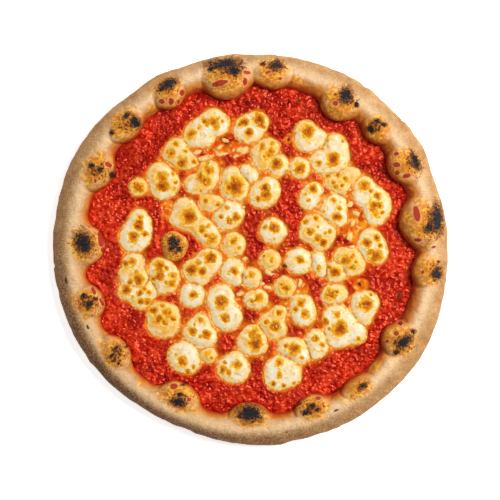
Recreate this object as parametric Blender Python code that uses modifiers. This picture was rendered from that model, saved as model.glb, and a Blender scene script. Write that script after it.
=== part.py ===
"""A round pizza with a puffed, blistered rim, tomato sauce and melted mozzarella pieces.

Metres, +Z up. The origin is the middle of the flat underside, on the surface that the pizza lies on.
"""

import math

import bmesh
import bpy
import numpy as np

# The layout is read on a square grid laid over the pizza, across to the right and down.
CELL = 0.00076
MIDDLE = 250.0

# Dough heights and radii
FLOOR_TOP = 0.0040
RIM_RISE = 0.0145
OUTER_LEVEL = 0.0085
TOE_RADIUS = 166 * CELL
CREST_RADIUS = 180 * CELL
OUTER_RADIUS = 198 * CELL
BASE_RADIUS = 189 * CELL
CREST_DRIFT = 2.5 * CELL
CREST_DRIFT_ANGLE = math.radians(45)
RIM_STEPS = 120
FLANK_SHARES = (0.0, 0.10, 0.30, 0.60, 1.0)
OUTER_ANGLES = (30, 60, 90)
UNDER_ANGLES = (45, 90)
FLANK_FULLNESS = 0.62

# The rim's edge seen from above: angle in degrees, then radius in cells.
RIM_OUTLINE = (
    (0, 197.5), (8, 199), (15, 197.3), (22, 196.5), (30, 201.5), (41, 200.6), (46, 198.7),
    (56, 201.5), (63, 199.5), (75, 198), (90, 195.5), (97, 197.6), (105, 195.5), (111, 195),
    (117, 198.6), (125, 195.9), (135, 198), (150, 199.7), (158, 199.6), (165, 197.5),
    (180, 197.6), (195, 196.5), (210, 195.7), (225, 194), (235, 191.2), (250, 190.4),
    (262, 193.3), (270, 195), (279, 197.2), (283, 195.5), (290, 197), (300, 199),
    (315, 200.3), (325, 202), (335, 201.8), (345, 199.5),
)

# Blisters on the rim: across, down, half length along the rim, half width across it, lift in mm.
BLISTERS = (
    (227, 79, 25, 21, 7.0),
    (272, 75, 18, 15, 5.0),
    (338, 104, 20, 17, 6.0),
    (376, 130, 16, 13, 3.5),
    (403, 166, 19, 16, 5.0),
    (420, 222, 26, 21, 7.0),
    (426, 270, 18, 15, 5.0),
    (398, 340, 19, 18, 6.0),
    (358, 386, 18, 11, 3.5),
    (313, 407, 18, 13, 4.5),
    (249, 415, 21, 13, 5.0),
    (180, 396, 22, 14, 5.0),
    (116, 352, 20, 14, 5.0),
    (90, 302, 19, 15, 5.0),
    (88, 245, 21, 17, 5.5),
    (99, 171, 21, 16, 5.0),
    (126, 126, 20, 15, 5.0),
    (169, 94, 17, 16, 5.0),
)
BLISTER_FULLNESS = 0.7
RIM_CORE_LEVEL = 0.008

# A bubble of the dough that broke through the sauce: across, down and radius in cells.
BUBBLE = (174, 246, 14.0)
BUBBLE_TOP = 0.0112
BUBBLE_STRETCH = 1.12

# Sauce layer
FIT_GAP = 0.0003
SAUCE_THICKNESS = 0.0020
SAUCE_RINGS = 8
SAUCE_EDGE_GAP = 0.0006
SAUCE_RELIEF = 0.0005
SAUCE_EDGE_DROP = 0.0008

# Melted mozzarella pieces, each a run of merged rounds: across, down and radius in cells.
CHEESES = (
    ((214, 119, 11), (220, 126, 8), (204, 127, 11), (194, 135, 11), (205, 137, 9)),
    ((246, 129, 12), (257, 122, 11), (251, 131, 10)),
    ((177, 147, 9), (171, 153, 8), (181, 158, 9), (189, 161, 7)),
    ((159, 174, 11), (166, 183, 13), (162, 187, 11)),
    ((138, 187, 8.5),),
    ((209, 168, 9), (210, 177, 8), (203, 184, 9), (194, 184, 9)),
    ((235, 187, 14), (232, 175, 8)),
    ((245, 170, 5), (251, 175, 7)),
    ((261, 152, 9), (270, 147, 9), (263, 161, 9)),
    ((278, 165, 10.5),),
    ((265, 193, 13), (259, 199, 8), (270, 187, 9)),
    ((306, 131, 10), (312, 139, 11), (304, 141, 9), (320, 139, 7)),
    ((335, 146, 12), (338, 158, 11), (323, 161, 12), (334, 165, 10)),
    ((334, 180, 9), (345, 176, 8), (341, 186, 8), (354, 174, 6)),
    ((300, 168, 10.5),),
    ((314, 190, 8), (309, 198, 9), (309, 203, 6)),
    ((364, 185, 9), (363, 196, 9), (373, 197, 11), (379, 205, 12), (376, 215, 10)),
    ((139, 216, 7), (140, 226, 11), (135, 236, 15), (132, 241, 10)),
    ((133, 262, 10), (131, 273, 10), (139, 281, 10), (127, 281, 7)),
    ((126, 291, 8), (137, 292, 9), (149, 290, 9), (141, 300, 9)),
    ((160, 269, 11), (166, 277, 13), (163, 283, 10)),
    ((192, 295, 12.5),),
    ((210, 260, 12), (193, 271, 10), (203, 267, 11), (200, 275, 9)),
    ((184, 207, 9), (187, 217, 13), (176, 218, 6), (200, 226, 9), (206, 232, 10), (212, 239, 8)),
    ((229, 215, 13), (224, 220, 9), (232, 211, 10)),
    ((206, 202, 6), (213, 203, 7), (219, 204, 5)),
    ((234, 243, 10), (234, 247, 9)),
    ((273, 231, 13),),
    ((234, 267, 9), (230, 272, 9), (236, 278, 7)),
    ((251, 278, 10),),
    ((270, 260, 10),),
    ((299, 261, 13),),
    ((285, 287, 10),),
    ((333, 206, 10), (338, 202, 7), (338, 214, 8), (330, 211, 8), (341, 221, 5)),
    ((314, 225, 11), (308, 233, 8), (323, 236, 10), (328, 232, 7), (321, 243, 7)),
    ((370, 238, 9), (372, 246, 13), (378, 254, 9)),
    ((318, 258, 6), (319, 266, 6), (323, 272, 5)),
    ((336, 272, 10.5),),
    ((343, 257, 9), (353, 257, 8), (358, 266, 7), (350, 268, 7)),
    ((159, 314, 11), (169, 315, 10), (166, 325, 12), (157, 325, 10)),
    ((200, 322, 8), (194, 333, 11), (206, 336, 10), (203, 341, 8)),
    ((185, 353, 12), (182, 361, 11), (190, 364, 9), (178, 354, 8)),
    ((220, 301, 13), (222, 295, 10), (225, 317, 13), (230, 318, 11)),
    ((236, 360, 8), (229, 369, 12), (238, 371, 11)),
    ((280, 371, 15), (289, 374, 12), (278, 378, 12)),
    ((254, 335, 10), (249, 343, 11), (257, 345, 10)),
    ((272, 320, 8), (268, 324, 8), (275, 328, 11), (280, 312, 6)),
    ((303, 307, 10), (304, 315, 11), (301, 304, 9)),
    ((259, 299, 9), (251, 300, 7)),
    ((296, 350, 11), (302, 356, 8), (286, 347, 8)),
    ((316, 340, 10), (320, 348, 8), (315, 354, 5)),
    ((336, 316, 12), (341, 330, 15), (355, 333, 11), (335, 338, 9), (347, 322, 9)),
    ((361, 303, 10), (368, 303, 11), (363, 314, 8), (366, 319, 5)),
    ((332, 295, 10), (340, 293, 7)),
    ((208, 355, 8),),
)
CHEESE_HEIGHT = 0.0031
CHEESE_HEIGHT_SPREAD = 0.0004
CHEESE_LIP = 0.35
CHEESE_MELT = 2.5
CHEESE_MARGIN = 1.1
CHEESE_RIM_MARGIN = 2.5
CHEESE_SIDES_SMALL = 14
CHEESE_SIDES_LARGE = 20
CHEESE_LARGE = 14.0
CHEESE_BANDS = 5
MARCH_STEP = 0.2
MARCH_REACH = 45.0

# Colours: red, green, blue in linear light, then roughness
DOUGH_FINISH = ((0.60, 0.36, 0.16), 0.75)
SAUCE_FINISH = ((0.42, 0.012, 0.004), 0.30)
CHEESE_FINISH = ((0.86, 0.70, 0.36), 0.38)

RANDOM = np.random.default_rng(6412)


def plan(across, down):
    """A place on the layout grid as x and y in metres."""
    return (np.asarray(across, float) - MIDDLE) * CELL, (MIDDLE - np.asarray(down, float)) * CELL


def smoothed(values, width):
    """A ring of values averaged over its neighbours, by a bell of that many samples."""
    reach = int(3 * width)
    offsets = np.arange(-reach, reach + 1)
    weights = np.exp(-0.5 * (offsets / width) ** 2)
    rolled = [np.roll(values, offset) * weight for offset, weight in zip(offsets, weights)]
    return np.sum(rolled, axis=0) / weights.sum()


RING_ANGLES = np.radians(np.arange(0, 360, 0.5))


def ring_value(table, angle):
    """Reads a table with one value for each half degree, at any angle."""
    turned = np.mod(angle, 2 * math.pi)
    return np.interp(turned, RING_ANGLES, table, period=2 * math.pi)


def outer_table():
    degrees, radii = zip(*RIM_OUTLINE)
    table = np.interp(np.degrees(RING_ANGLES), degrees, radii, period=360) * CELL
    return smoothed(table, 5)


def blister_frames():
    """Each blister's middle, its two directions and half sizes in metres, and its lift."""
    frames = []
    for across, down, along, wide, lift in BLISTERS:
        x, y = plan(across, down)
        length = math.hypot(x, y)
        outward = (x / length, y / length)
        sideways = (-outward[1], outward[0])
        frames.append(((x, y), sideways, outward, along * CELL, wide * CELL, lift / 1000))
    return frames


def toe_table():
    """Where the rim meets the sauce at each angle: a circle, pushed in by the blisters."""
    toe = np.full(RING_ANGLES.shape, TOE_RADIUS)
    ray_x, ray_y = np.cos(RING_ANGLES), np.sin(RING_ANGLES)
    for (x, y), sideways, outward, along, wide, _ in blister_frames():
        ray_side = (ray_x * sideways[0] + ray_y * sideways[1]) / along
        ray_out = (ray_x * outward[0] + ray_y * outward[1]) / wide
        mid_side = (x * sideways[0] + y * sideways[1]) / along
        mid_out = (x * outward[0] + y * outward[1]) / wide
        square = ray_side**2 + ray_out**2
        half = ray_side * mid_side + ray_out * mid_out
        inside = half**2 - square * (mid_side**2 + mid_out**2 - 1)
        reach = (half - np.sqrt(np.maximum(inside, 0))) / square
        toe = np.where((inside > 0) & (half > 0), np.minimum(toe, reach), toe)
    return smoothed(toe, 3)


OUTER = outer_table()
TOE = toe_table()


def crest_radius(angle):
    return CREST_RADIUS + CREST_DRIFT * np.cos(angle - CREST_DRIFT_ANGLE)


def rim_height(angle):
    """How much the rim's rise swells and sinks along its length, as a factor."""
    return 1 + 0.06 * np.sin(3 * angle + 0.6) + 0.05 * np.sin(7 * angle + 2.1) + 0.03 * np.sin(13 * angle)


def swelling(x, y):
    """The blisters' lift at points seen from above."""
    lift = np.zeros_like(x)
    for (middle_x, middle_y), sideways, outward, along, wide, height in blister_frames():
        step_x, step_y = x - middle_x, y - middle_y
        side = (step_x * sideways[0] + step_y * sideways[1]) / along
        out = (step_x * outward[0] + step_y * outward[1]) / wide
        dome = np.maximum(1 - side**2 - out**2, 0) ** BLISTER_FULLNESS
        lift = np.maximum(lift, height * dome)
    return lift


def crust_profile():
    """Radius and height of an even pizza base, from its underside's middle out and over the rim to its top's."""
    points = [(0.0, 0.0)]
    for degrees in reversed(UNDER_ANGLES):
        turn = math.radians(degrees)
        radius = BASE_RADIUS + (OUTER_RADIUS - BASE_RADIUS) * math.cos(turn)
        points.append((radius, OUTER_LEVEL * (1 - math.sin(turn))))
    crest = FLOOR_TOP + RIM_RISE
    for degrees in reversed(OUTER_ANGLES):
        turn = math.radians(degrees)
        radius = CREST_RADIUS + (OUTER_RADIUS - CREST_RADIUS) * math.sin(turn)
        points.append((radius, OUTER_LEVEL + (crest - OUTER_LEVEL) * math.cos(turn)))
    for share in reversed(FLANK_SHARES):
        radius = TOE_RADIUS + (CREST_RADIUS - TOE_RADIUS) * share
        rise = (1 - (1 - share) ** 2) ** FLANK_FULLNESS
        points.append((radius, FLOOR_TOP + RIM_RISE * rise))
    points.append((TOE_RADIUS * 0.6, FLOOR_TOP))
    points.append((0.0, FLOOR_TOP))
    return points


def turned(name, profile, steps):
    """A mesh object made by turning a profile of radius and height about the Z axis."""
    mesh = bpy.data.meshes.new(name + "_profile")
    corners = [(radius, 0, height) for radius, height in profile]
    edges = [(i, i + 1) for i in range(len(profile) - 1)]
    mesh.from_pydata(corners, edges, [])
    lathe = bpy.data.objects.new(name + "_profile", mesh)
    bpy.context.scene.collection.objects.link(lathe)
    screw = lathe.modifiers.new("Turn", "SCREW")
    screw.steps = screw.render_steps = steps
    screw.use_merge_vertices = True
    screw.merge_threshold = 0.0001
    graph = bpy.context.evaluated_depsgraph_get()
    solid = bpy.data.meshes.new_from_object(lathe.evaluated_get(graph))
    bpy.data.objects.remove(lathe)
    close_and_face_out(solid)
    solid.name = name
    return bpy.data.objects.new(name, solid)


def close_and_face_out(mesh):
    work = bmesh.new()
    work.from_mesh(mesh)
    bmesh.ops.remove_doubles(work, verts=work.verts, dist=0.00001)
    bmesh.ops.recalc_face_normals(work, faces=work.faces)
    work.to_mesh(mesh)
    work.free()


def points_of(mesh):
    flat = np.empty(len(mesh.vertices) * 3)
    mesh.vertices.foreach_get("co", flat)
    return flat.reshape(-1, 3)


def set_points(mesh, points):
    mesh.vertices.foreach_set("co", points.astype(np.float32).ravel())
    mesh.update()


def bend_to_outline(radius, angle):
    """Moves even radii so that the toe, the crest and the edge follow the real ones."""
    toe, crest, outer = ring_value(TOE, angle), crest_radius(angle), ring_value(OUTER, angle)
    inner = radius / TOE_RADIUS * toe
    flank = toe + (radius - TOE_RADIUS) / (CREST_RADIUS - TOE_RADIUS) * (crest - toe)
    beyond = crest + (radius - CREST_RADIUS) / (OUTER_RADIUS - CREST_RADIUS) * (outer - crest)
    return np.where(radius < TOE_RADIUS, inner, np.where(radius < CREST_RADIUS, flank, beyond))


def shape_crust(points):
    """Turns the even base into the uneven one, with its blisters."""
    even = np.hypot(points[:, 0], points[:, 1])
    angle = np.arctan2(points[:, 1], points[:, 0])
    height = points[:, 2]
    radius = bend_to_outline(even, angle)
    above = height > FLOOR_TOP
    raised = FLOOR_TOP + (height - FLOOR_TOP) * rim_height(angle)
    height = np.where(above, raised, height)
    lift = swelling(radius * np.cos(angle), radius * np.sin(angle)) * above
    lift *= np.clip((height - FLOOR_TOP) / (RIM_RISE * 0.4), 0, 1)
    out, up = radius - crest_radius(angle), height - RIM_CORE_LEVEL
    length = np.hypot(out, up) + 1e-9
    radius = np.where(above, np.maximum(radius + lift * out / length, ring_value(TOE, angle)), radius)
    height = height + lift * np.maximum(up, 0) / length
    return np.column_stack((radius * np.cos(angle), radius * np.sin(angle), height))


def finish_material(name, finish):
    colour, roughness = finish
    material = bpy.data.materials.new(name)
    material.use_nodes = True
    shader = material.node_tree.nodes["Principled BSDF"]
    shader.inputs["Base Color"].default_value = (*colour, 1)
    shader.inputs["Roughness"].default_value = roughness
    shader.inputs["Metallic"].default_value = 0
    return material


def dome(name, across, down, radius, stretch, bottom, top):
    """A squashed ball that stands through the dough's top, for the bubble and for its clearance."""
    mesh = bpy.data.meshes.new(name)
    work = bmesh.new()
    bmesh.ops.create_uvsphere(work, u_segments=20, v_segments=12, radius=1)
    work.to_mesh(mesh)
    work.free()
    x, y = plan(across, down)
    points = points_of(mesh)
    points[:, 0] = x + points[:, 0] * radius
    points[:, 1] = y + points[:, 1] * radius * stretch
    points[:, 2] = bottom + (points[:, 2] + 1) / 2 * (top - bottom)
    set_points(mesh, points)
    return bpy.data.objects.new(name, mesh)


def boolean(target, tool, operation):
    modifier = target.modifiers.new(operation.title(), "BOOLEAN")
    modifier.object = tool
    modifier.operation = operation
    modifier.solver = "EXACT"
    return modifier


def apply_and_drop(target, tool):
    """Keeps the Boolean's result as the mesh, and removes what it was joined with."""
    bpy.context.view_layer.update()
    graph = bpy.context.evaluated_depsgraph_get()
    result = bpy.data.meshes.new_from_object(target.evaluated_get(graph))
    target.modifiers.clear()
    target.data = result
    bpy.data.objects.remove(tool)


def build_crust(parts):
    crust = turned("crust", crust_profile(), RIM_STEPS)
    set_points(crust.data, shape_crust(points_of(crust.data)))
    parts.objects.link(crust)
    across, down, radius = BUBBLE
    low = FLOOR_TOP - (BUBBLE_TOP - FLOOR_TOP) * 0.45
    bubble = dome("bubble", across, down, radius * CELL, BUBBLE_STRETCH, low, BUBBLE_TOP)
    parts.objects.link(bubble)
    boolean(crust, bubble, "UNION")
    apply_and_drop(crust, bubble)
    return crust


def cheese_distance(across, down, lobes):
    """How far points are outside a melted piece, in cells; negative inside it."""
    total = np.zeros(np.shape(across))
    for lobe_across, lobe_down, radius in lobes:
        gap = np.hypot(across - lobe_across, down - lobe_down) - radius
        total = total + np.exp(-gap / CHEESE_MELT)
    return -CHEESE_MELT * np.log(total + 1e-12)


def cheese_middle(lobes):
    weights = np.array([radius**2 for _, _, radius in lobes])
    places = np.array([(across, down) for across, down, _ in lobes], float)
    return (places * weights[:, None]).sum(axis=0) / weights.sum()


def cheese_reach(index, angles):
    """The piece's edge at each angle from its middle, in cells, held clear of its neighbours and the rim."""
    middle = cheese_middle(CHEESES[index])
    steps = np.arange(MARCH_STEP, MARCH_REACH, MARCH_STEP)
    across = middle[0] + np.cos(angles)[:, None] * steps
    down = middle[1] - np.sin(angles)[:, None] * steps
    own = cheese_distance(across, down, CHEESES[index])
    outside = own > 0
    neighbours = [lobes for other, lobes in enumerate(CHEESES) if other != index]
    neighbours.append((BUBBLE,))
    for lobes in neighbours:
        if np.hypot(*(cheese_middle(lobes) - middle)) < 2 * MARCH_REACH:
            outside |= own > cheese_distance(across, down, lobes) - CHEESE_MARGIN
    x, y = plan(across, down)
    rim = ring_value(TOE, np.arctan2(y, x))
    outside |= np.hypot(x, y) > rim - CHEESE_RIM_MARGIN * CELL
    return np.where(outside.any(axis=1), steps[outside.argmax(axis=1)], MARCH_REACH)


def build_cheese(parts, index, material):
    """One melted piece: a ball flattened into a pillow, with a level foot on the sauce."""
    lobes = CHEESES[index]
    middle = cheese_middle(lobes)
    spread = max(np.hypot(a - middle[0], d - middle[1]) + r for a, d, r in lobes)
    sides = CHEESE_SIDES_LARGE if spread > CHEESE_LARGE else CHEESE_SIDES_SMALL
    name = f"cheese_{index + 1:02d}"
    mesh = bpy.data.meshes.new(name)
    work = bmesh.new()
    bmesh.ops.create_uvsphere(work, u_segments=sides, v_segments=CHEESE_BANDS, radius=1)
    work.to_mesh(mesh)
    work.free()
    ball = points_of(mesh)
    angle = np.arctan2(ball[:, 1], ball[:, 0])
    across_share = np.hypot(ball[:, 0], ball[:, 1]) ** 0.55
    height = CHEESE_HEIGHT + RANDOM.uniform(-1, 1) * CHEESE_HEIGHT_SPREAD
    lip = CHEESE_LIP * height
    upper = lip + (height - lip) * np.maximum(ball[:, 2], 0) ** 0.8
    level = np.where(ball[:, 2] > 0, upper, np.where(ball[:, 2] > -0.5, lip * 0.5, 0))
    reach = cheese_reach(index, angle) * across_share * CELL
    x, y = plan(*middle)
    foot = FLOOR_TOP + FIT_GAP + SAUCE_THICKNESS + FIT_GAP
    set_points(mesh, np.column_stack((x + reach * np.cos(angle), y + reach * np.sin(angle), foot + level)))
    mesh.shade_smooth()
    mesh.materials.append(material)
    parts.objects.link(bpy.data.objects.new(name, mesh))


def cheese_cover(x, y):
    """Distance in cells from points to the nearest cheese piece or bubble."""
    across, down = x / CELL + MIDDLE, MIDDLE - y / CELL
    gaps = [cheese_distance(across, down, lobes) for lobes in CHEESES]
    gaps.append(cheese_distance(across, down, (BUBBLE,)))
    return np.min(gaps, axis=0)


def build_sauce(parts, cutters):
    """A thin uneven disc with the rim's inner outline, cut round the bubble."""
    bottom = FLOOR_TOP + FIT_GAP
    top = bottom + SAUCE_THICKNESS
    profile = [(0.0, bottom), (TOE_RADIUS, bottom)]
    profile += [(TOE_RADIUS * ring / SAUCE_RINGS, top) for ring in range(SAUCE_RINGS, -1, -1)]
    sauce = turned("tomato_sauce", profile, RIM_STEPS)
    points = points_of(sauce.data)
    even = np.hypot(points[:, 0], points[:, 1])
    angle = np.arctan2(points[:, 1], points[:, 0])
    radius = even / TOE_RADIUS * (ring_value(TOE, angle) - SAUCE_EDGE_GAP)
    x, y = radius * np.cos(angle), radius * np.sin(angle)
    ripple = np.sin(x * 330 + 2 * np.sin(y * 170)) + np.sin(y * 290 + 2 * np.sin(x * 210 + 1))
    clear = np.clip((cheese_cover(x, y) - 12) / 10, 0, 1)
    on_top = points[:, 2] > bottom + SAUCE_THICKNESS / 2
    rounded = SAUCE_EDGE_DROP * (even > TOE_RADIUS * 0.99)
    points[:, 2] += on_top * (SAUCE_RELIEF / 2 * ripple * clear - rounded)
    set_points(sauce.data, np.column_stack((x, y, points[:, 2])))
    parts.objects.link(sauce)
    across, down, bubble = BUBBLE
    low = FLOOR_TOP - (BUBBLE_TOP - FLOOR_TOP) * 0.45 - 3 * FIT_GAP
    wider = bubble * CELL + 2 * FIT_GAP
    cutter = dome("bubble_clearance", across, down, wider, BUBBLE_STRETCH, low, BUBBLE_TOP + 3 * FIT_GAP)
    cutter.hide_render = True
    cutter.display_type = "WIRE"
    cutters.objects.link(cutter)
    boolean(sauce, cutter, "DIFFERENCE")
    return sauce


def collection(name):
    made = bpy.data.collections.new(name)
    bpy.context.scene.collection.children.link(made)
    return made


def main():
    for old in list(bpy.data.objects):
        bpy.data.objects.remove(old)
    parts, cutters = collection("pizza"), collection("cutters")
    crust = build_crust(parts)
    sauce = build_sauce(parts, cutters)
    cheese_material = finish_material("melted mozzarella", CHEESE_FINISH)
    for index in range(len(CHEESES)):
        build_cheese(parts, index, cheese_material)
    for piece, name, finish in ((crust, "baked dough", DOUGH_FINISH), (sauce, "tomato sauce", SAUCE_FINISH)):
        piece.data.shade_smooth()
        piece.data.materials.append(finish_material(name, finish))


main()
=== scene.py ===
# %% [markdown]
# # A pizza from a wood oven
# The solids of the pizza are already packed: a crust, a layer of sauce and the melted mozzarella.
# This lesson dresses them. Each solid is replaced by a finer mesh with the same outline and
# heights, and each mesh gets a procedural finish, so that nothing here comes from a picture. The
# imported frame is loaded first, because it says where everything is.

# %% Load the frame
import math
import bmesh
import bpy
import numpy as np
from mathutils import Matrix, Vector


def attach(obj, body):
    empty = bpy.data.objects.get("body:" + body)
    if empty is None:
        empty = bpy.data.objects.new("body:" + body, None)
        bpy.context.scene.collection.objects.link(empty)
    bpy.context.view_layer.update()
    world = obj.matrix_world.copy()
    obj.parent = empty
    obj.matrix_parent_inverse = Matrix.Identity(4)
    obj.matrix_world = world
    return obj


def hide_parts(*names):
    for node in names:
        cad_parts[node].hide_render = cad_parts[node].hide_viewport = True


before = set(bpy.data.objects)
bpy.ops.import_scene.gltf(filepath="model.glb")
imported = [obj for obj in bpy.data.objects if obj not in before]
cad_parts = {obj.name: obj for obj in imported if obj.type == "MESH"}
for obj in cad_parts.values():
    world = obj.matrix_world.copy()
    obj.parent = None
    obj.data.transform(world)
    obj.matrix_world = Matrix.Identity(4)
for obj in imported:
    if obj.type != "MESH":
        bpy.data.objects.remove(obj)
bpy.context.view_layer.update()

# %% [markdown]
# ## A layout grid
# A pizza has no straight lines to measure from, so its layout is kept on a square grid laid over
# it. One cell is 0.76 mm, places count across to the right and down, and the middle is at (250,
# 250).

# %% The grid
CELL = 0.00076
MIDDLE = 250.0


def plan(across, down):
    """A place on the layout grid as x and y in metres."""
    return (np.asarray(across, float) - MIDDLE) * CELL, (MIDDLE - np.asarray(down, float)) * CELL


def grid_place(points):
    """Where points in metres lie on the layout grid, seen from above."""
    return points[:, 0] / CELL + MIDDLE, MIDDLE - points[:, 1] / CELL


print("grid cell:", CELL * 1000, "mm")


# %% Small helpers for pieces
def deselect_all():
    if bpy.context.mode != "OBJECT":
        bpy.ops.object.mode_set(mode="OBJECT")
    bpy.ops.object.select_all(action="DESELECT")


def points_of(piece):
    flat = np.empty(len(piece.data.vertices) * 3)
    piece.data.vertices.foreach_get("co", flat)
    return flat.reshape(-1, 3)


def set_points(piece, points):
    piece.data.vertices.foreach_set("co", np.asarray(points, np.float32).ravel())
    piece.data.update()


def paint(piece, **layers):
    """Stores one number for each vertex under each name, for the materials to read."""
    for name, values in layers.items():
        layer = piece.data.attributes.new(name, "FLOAT", "POINT")
        layer.data.foreach_set("value", np.asarray(values, np.float32))


print("pieces can be read, moved and painted")

# %% [markdown]
# ## Uneven by nature
# Dough, sauce and melted cheese have no plain surface. A lattice of random numbers, smoothed
# between its points, gives soft lumps of any size, and rounded grains give the pulp of tomato.
# They are worked out here and not by a modifier, so that a mark and a shape can use the same ones.

# %% Lumps, grains and ovals
RANDOM = np.random.default_rng(77)
LATTICE = RANDOM.uniform(-1, 1, (61, 61, 61))
FAR_CORNER = 500
SEED_STEP = 13.7
GRAIN_SHIFT = 0.42


def lumps(points, size, seed=0):
    """Smooth random lumps of about that size in metres, from -1 to 1."""
    scaled = points / size + FAR_CORNER + SEED_STEP * seed
    corner = np.floor(scaled).astype(int)
    share = scaled - corner
    share = share * share * (3 - 2 * share)
    total = np.zeros(len(points))
    for step in np.ndindex(2, 2, 2):
        cell = (corner + step) % len(LATTICE)
        total += np.where(step, share, 1 - share).prod(axis=1) * LATTICE[tuple(cell.T)]
    return total


def grains(points, size, layer):
    """Rounded grains of about that size seen from above: 1 on a grain's top, 0 at its foot."""
    scaled = points[:, :2] / size + FAR_CORNER
    corner = np.floor(scaled).astype(int)
    nearest = np.ones(len(points))
    for step in np.ndindex(3, 3):
        cell = corner + step - 1
        row, column = (cell % len(LATTICE)).T
        shift = np.column_stack((LATTICE[row, column, layer], LATTICE[row, column, layer + 1]))
        spot = cell + 0.5 + GRAIN_SHIFT * shift
        nearest = np.minimum(nearest, np.hypot(*(scaled - spot).T))
    return np.sqrt(1 - nearest**2)


def ease(values, low, high):
    """0 below low, 1 above high, and a smooth step between them."""
    share = np.clip((values - low) / (high - low), 0, 1)
    return share * share * (3 - 2 * share)


def around(radius, angle, height):
    """Points at that distance from the middle, at that angle and height."""
    return np.column_stack((radius * np.cos(angle), radius * np.sin(angle), height))


def marks(across, down, shapes):
    """1 in the middle of the nearest oval mark, 0 on its edge, and less outside, down to -1."""
    best = np.full(np.shape(across), -1.0)
    for mark_across, mark_down, half_long, half_wide, turn in shapes:
        right, up = across - mark_across, mark_down - down
        cosine, sine = math.cos(math.radians(turn)), math.sin(math.radians(turn))
        along = (right * cosine + up * sine) / half_long
        wide = (up * cosine - right * sine) / half_wide
        best = np.maximum(best, 1 - np.hypot(along, wide))
    return best


print("random numbers:", LATTICE.size)

# %% [markdown]
# ## Camera, light and floor
# The pizza is seen from straight above, so the camera looks down and its picture's top is +Y. It
# stands far off with a long lens, so that the high rim and the low middle keep one scale. Soft
# light comes from the upper right, which leaves the left and lower outside of the rim in shade.

# %% Camera
CAMERA_HEIGHT = 2.4
RIM_LEVEL = 0.012
PICTURE_WIDTH = 2 * MIDDLE * CELL
SENSOR_WIDTH = 36

deselect_all()
bpy.ops.object.camera_add(location=(0, 0, CAMERA_HEIGHT), rotation=(0, 0, 0))
camera = bpy.context.active_object
camera.data.sensor_width = SENSOR_WIDTH
camera.data.lens = SENSOR_WIDTH * (CAMERA_HEIGHT - RIM_LEVEL) / PICTURE_WIDTH
bpy.context.scene.camera = camera
bpy.context.scene.view_settings.view_transform = "Standard"
print("lens:", round(camera.data.lens), "mm")


# %% Lights and floor
def area_light(name, place, size, watts, colour):
    """A square light that faces the middle of the pizza."""
    bpy.ops.object.light_add(type="AREA", location=place)
    light = bpy.context.active_object
    light.name = name
    light.data.size = size
    light.data.energy = watts
    light.data.color = colour
    light.rotation_euler = (-Vector(place)).to_track_quat("-Z", "Y").to_euler()


area_light("window", (0.98, 0.45, 1.55), 0.75, 43, (1, 0.97, 0.92))
area_light("bounce", (-0.7, 0.1, 1.6), 1.2, 5, (1, 0.97, 0.94))

world = bpy.data.worlds.new("studio")
bpy.context.scene.world = world
world.use_nodes = True
sky = world.node_tree.nodes["Background"].inputs
sky["Color"].default_value = (1, 0.94, 0.87, 1)
sky["Strength"].default_value = 0.15

bpy.ops.mesh.primitive_plane_add(size=4, location=(0, 0, 0))
floor = bpy.context.active_object
floor.name = "floor"
paper = bpy.data.materials.new("white table")
paper.use_nodes = True
paper_inputs = paper.node_tree.nodes["Principled BSDF"].inputs
paper_inputs["Base Color"].default_value = (0.9, 0.9, 0.9, 1)
paper_inputs["Roughness"].default_value = 0.9
paper_inputs["Emission Color"].default_value = (1, 1, 1, 1)
paper_inputs["Emission Strength"].default_value = 0.65
floor.data.materials.append(paper)
print("floor and lights are in place")

# %% [markdown]
# ## The rim's own lines
# The crust's solid was worked out from three rings: the toe, where the rim meets the sauce, the
# crest, and the outer edge. The same rings are worked out here, so that the fine mesh fits the
# solid. Blisters are the bubbles of the dough that swelled in the heat. Each is an oval lift on
# the rim, and where one leans inwards it pushes the toe in with it.

# %% Outline and blisters
FLOOR_TOP = 0.0040
RIM_RISE = 0.0145
OUTER_LEVEL = 0.0085
TOE_RADIUS = 166 * CELL
CREST_RADIUS = 180 * CELL
OUTER_RADIUS = 198 * CELL
BASE_RADIUS = 189 * CELL
CREST_DRIFT = 2.5 * CELL
CREST_DRIFT_ANGLE = math.radians(45)
RIM_CORE_LEVEL = 0.008
BLISTER_FULLNESS = 0.7
FLANK_FULLNESS = 0.62

# The rim's edge seen from above: angle in degrees, then radius in cells.
RIM_OUTLINE = (
    (0, 197.5), (8, 199), (15, 197.3), (22, 196.5), (30, 201.5), (41, 200.6), (46, 198.7),
    (56, 201.5), (63, 199.5), (75, 198), (90, 195.5), (97, 197.6), (105, 195.5), (111, 195),
    (117, 198.6), (125, 195.9), (135, 198), (150, 199.7), (158, 199.6), (165, 197.5), (180, 197.6),
    (195, 196.5), (210, 195.7), (225, 194), (235, 191.2), (250, 190.4), (262, 193.3), (270, 195),
    (279, 197.2), (283, 195.5), (290, 197), (300, 199), (315, 200.3), (325, 202), (335, 201.8),
    (345, 199.5),
)

# Blisters: across, down, half length along the rim, half width across it, lift in mm.
BLISTERS = (
    (227, 79, 25, 21, 7.0),
    (272, 75, 18, 15, 5.0),
    (338, 104, 20, 17, 6.0),
    (376, 130, 16, 13, 3.5),
    (403, 166, 19, 16, 5.0),
    (420, 222, 26, 21, 7.0),
    (426, 270, 18, 15, 5.0),
    (398, 340, 19, 18, 6.0),
    (358, 386, 18, 11, 3.5),
    (313, 407, 18, 13, 4.5),
    (249, 415, 21, 13, 5.0),
    (180, 396, 22, 14, 5.0),
    (116, 352, 20, 14, 5.0),
    (90, 302, 19, 15, 5.0),
    (88, 245, 21, 17, 5.5),
    (99, 171, 21, 16, 5.0),
    (126, 126, 20, 15, 5.0),
    (169, 94, 17, 16, 5.0),
)
print("blisters:", len(BLISTERS))

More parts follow.
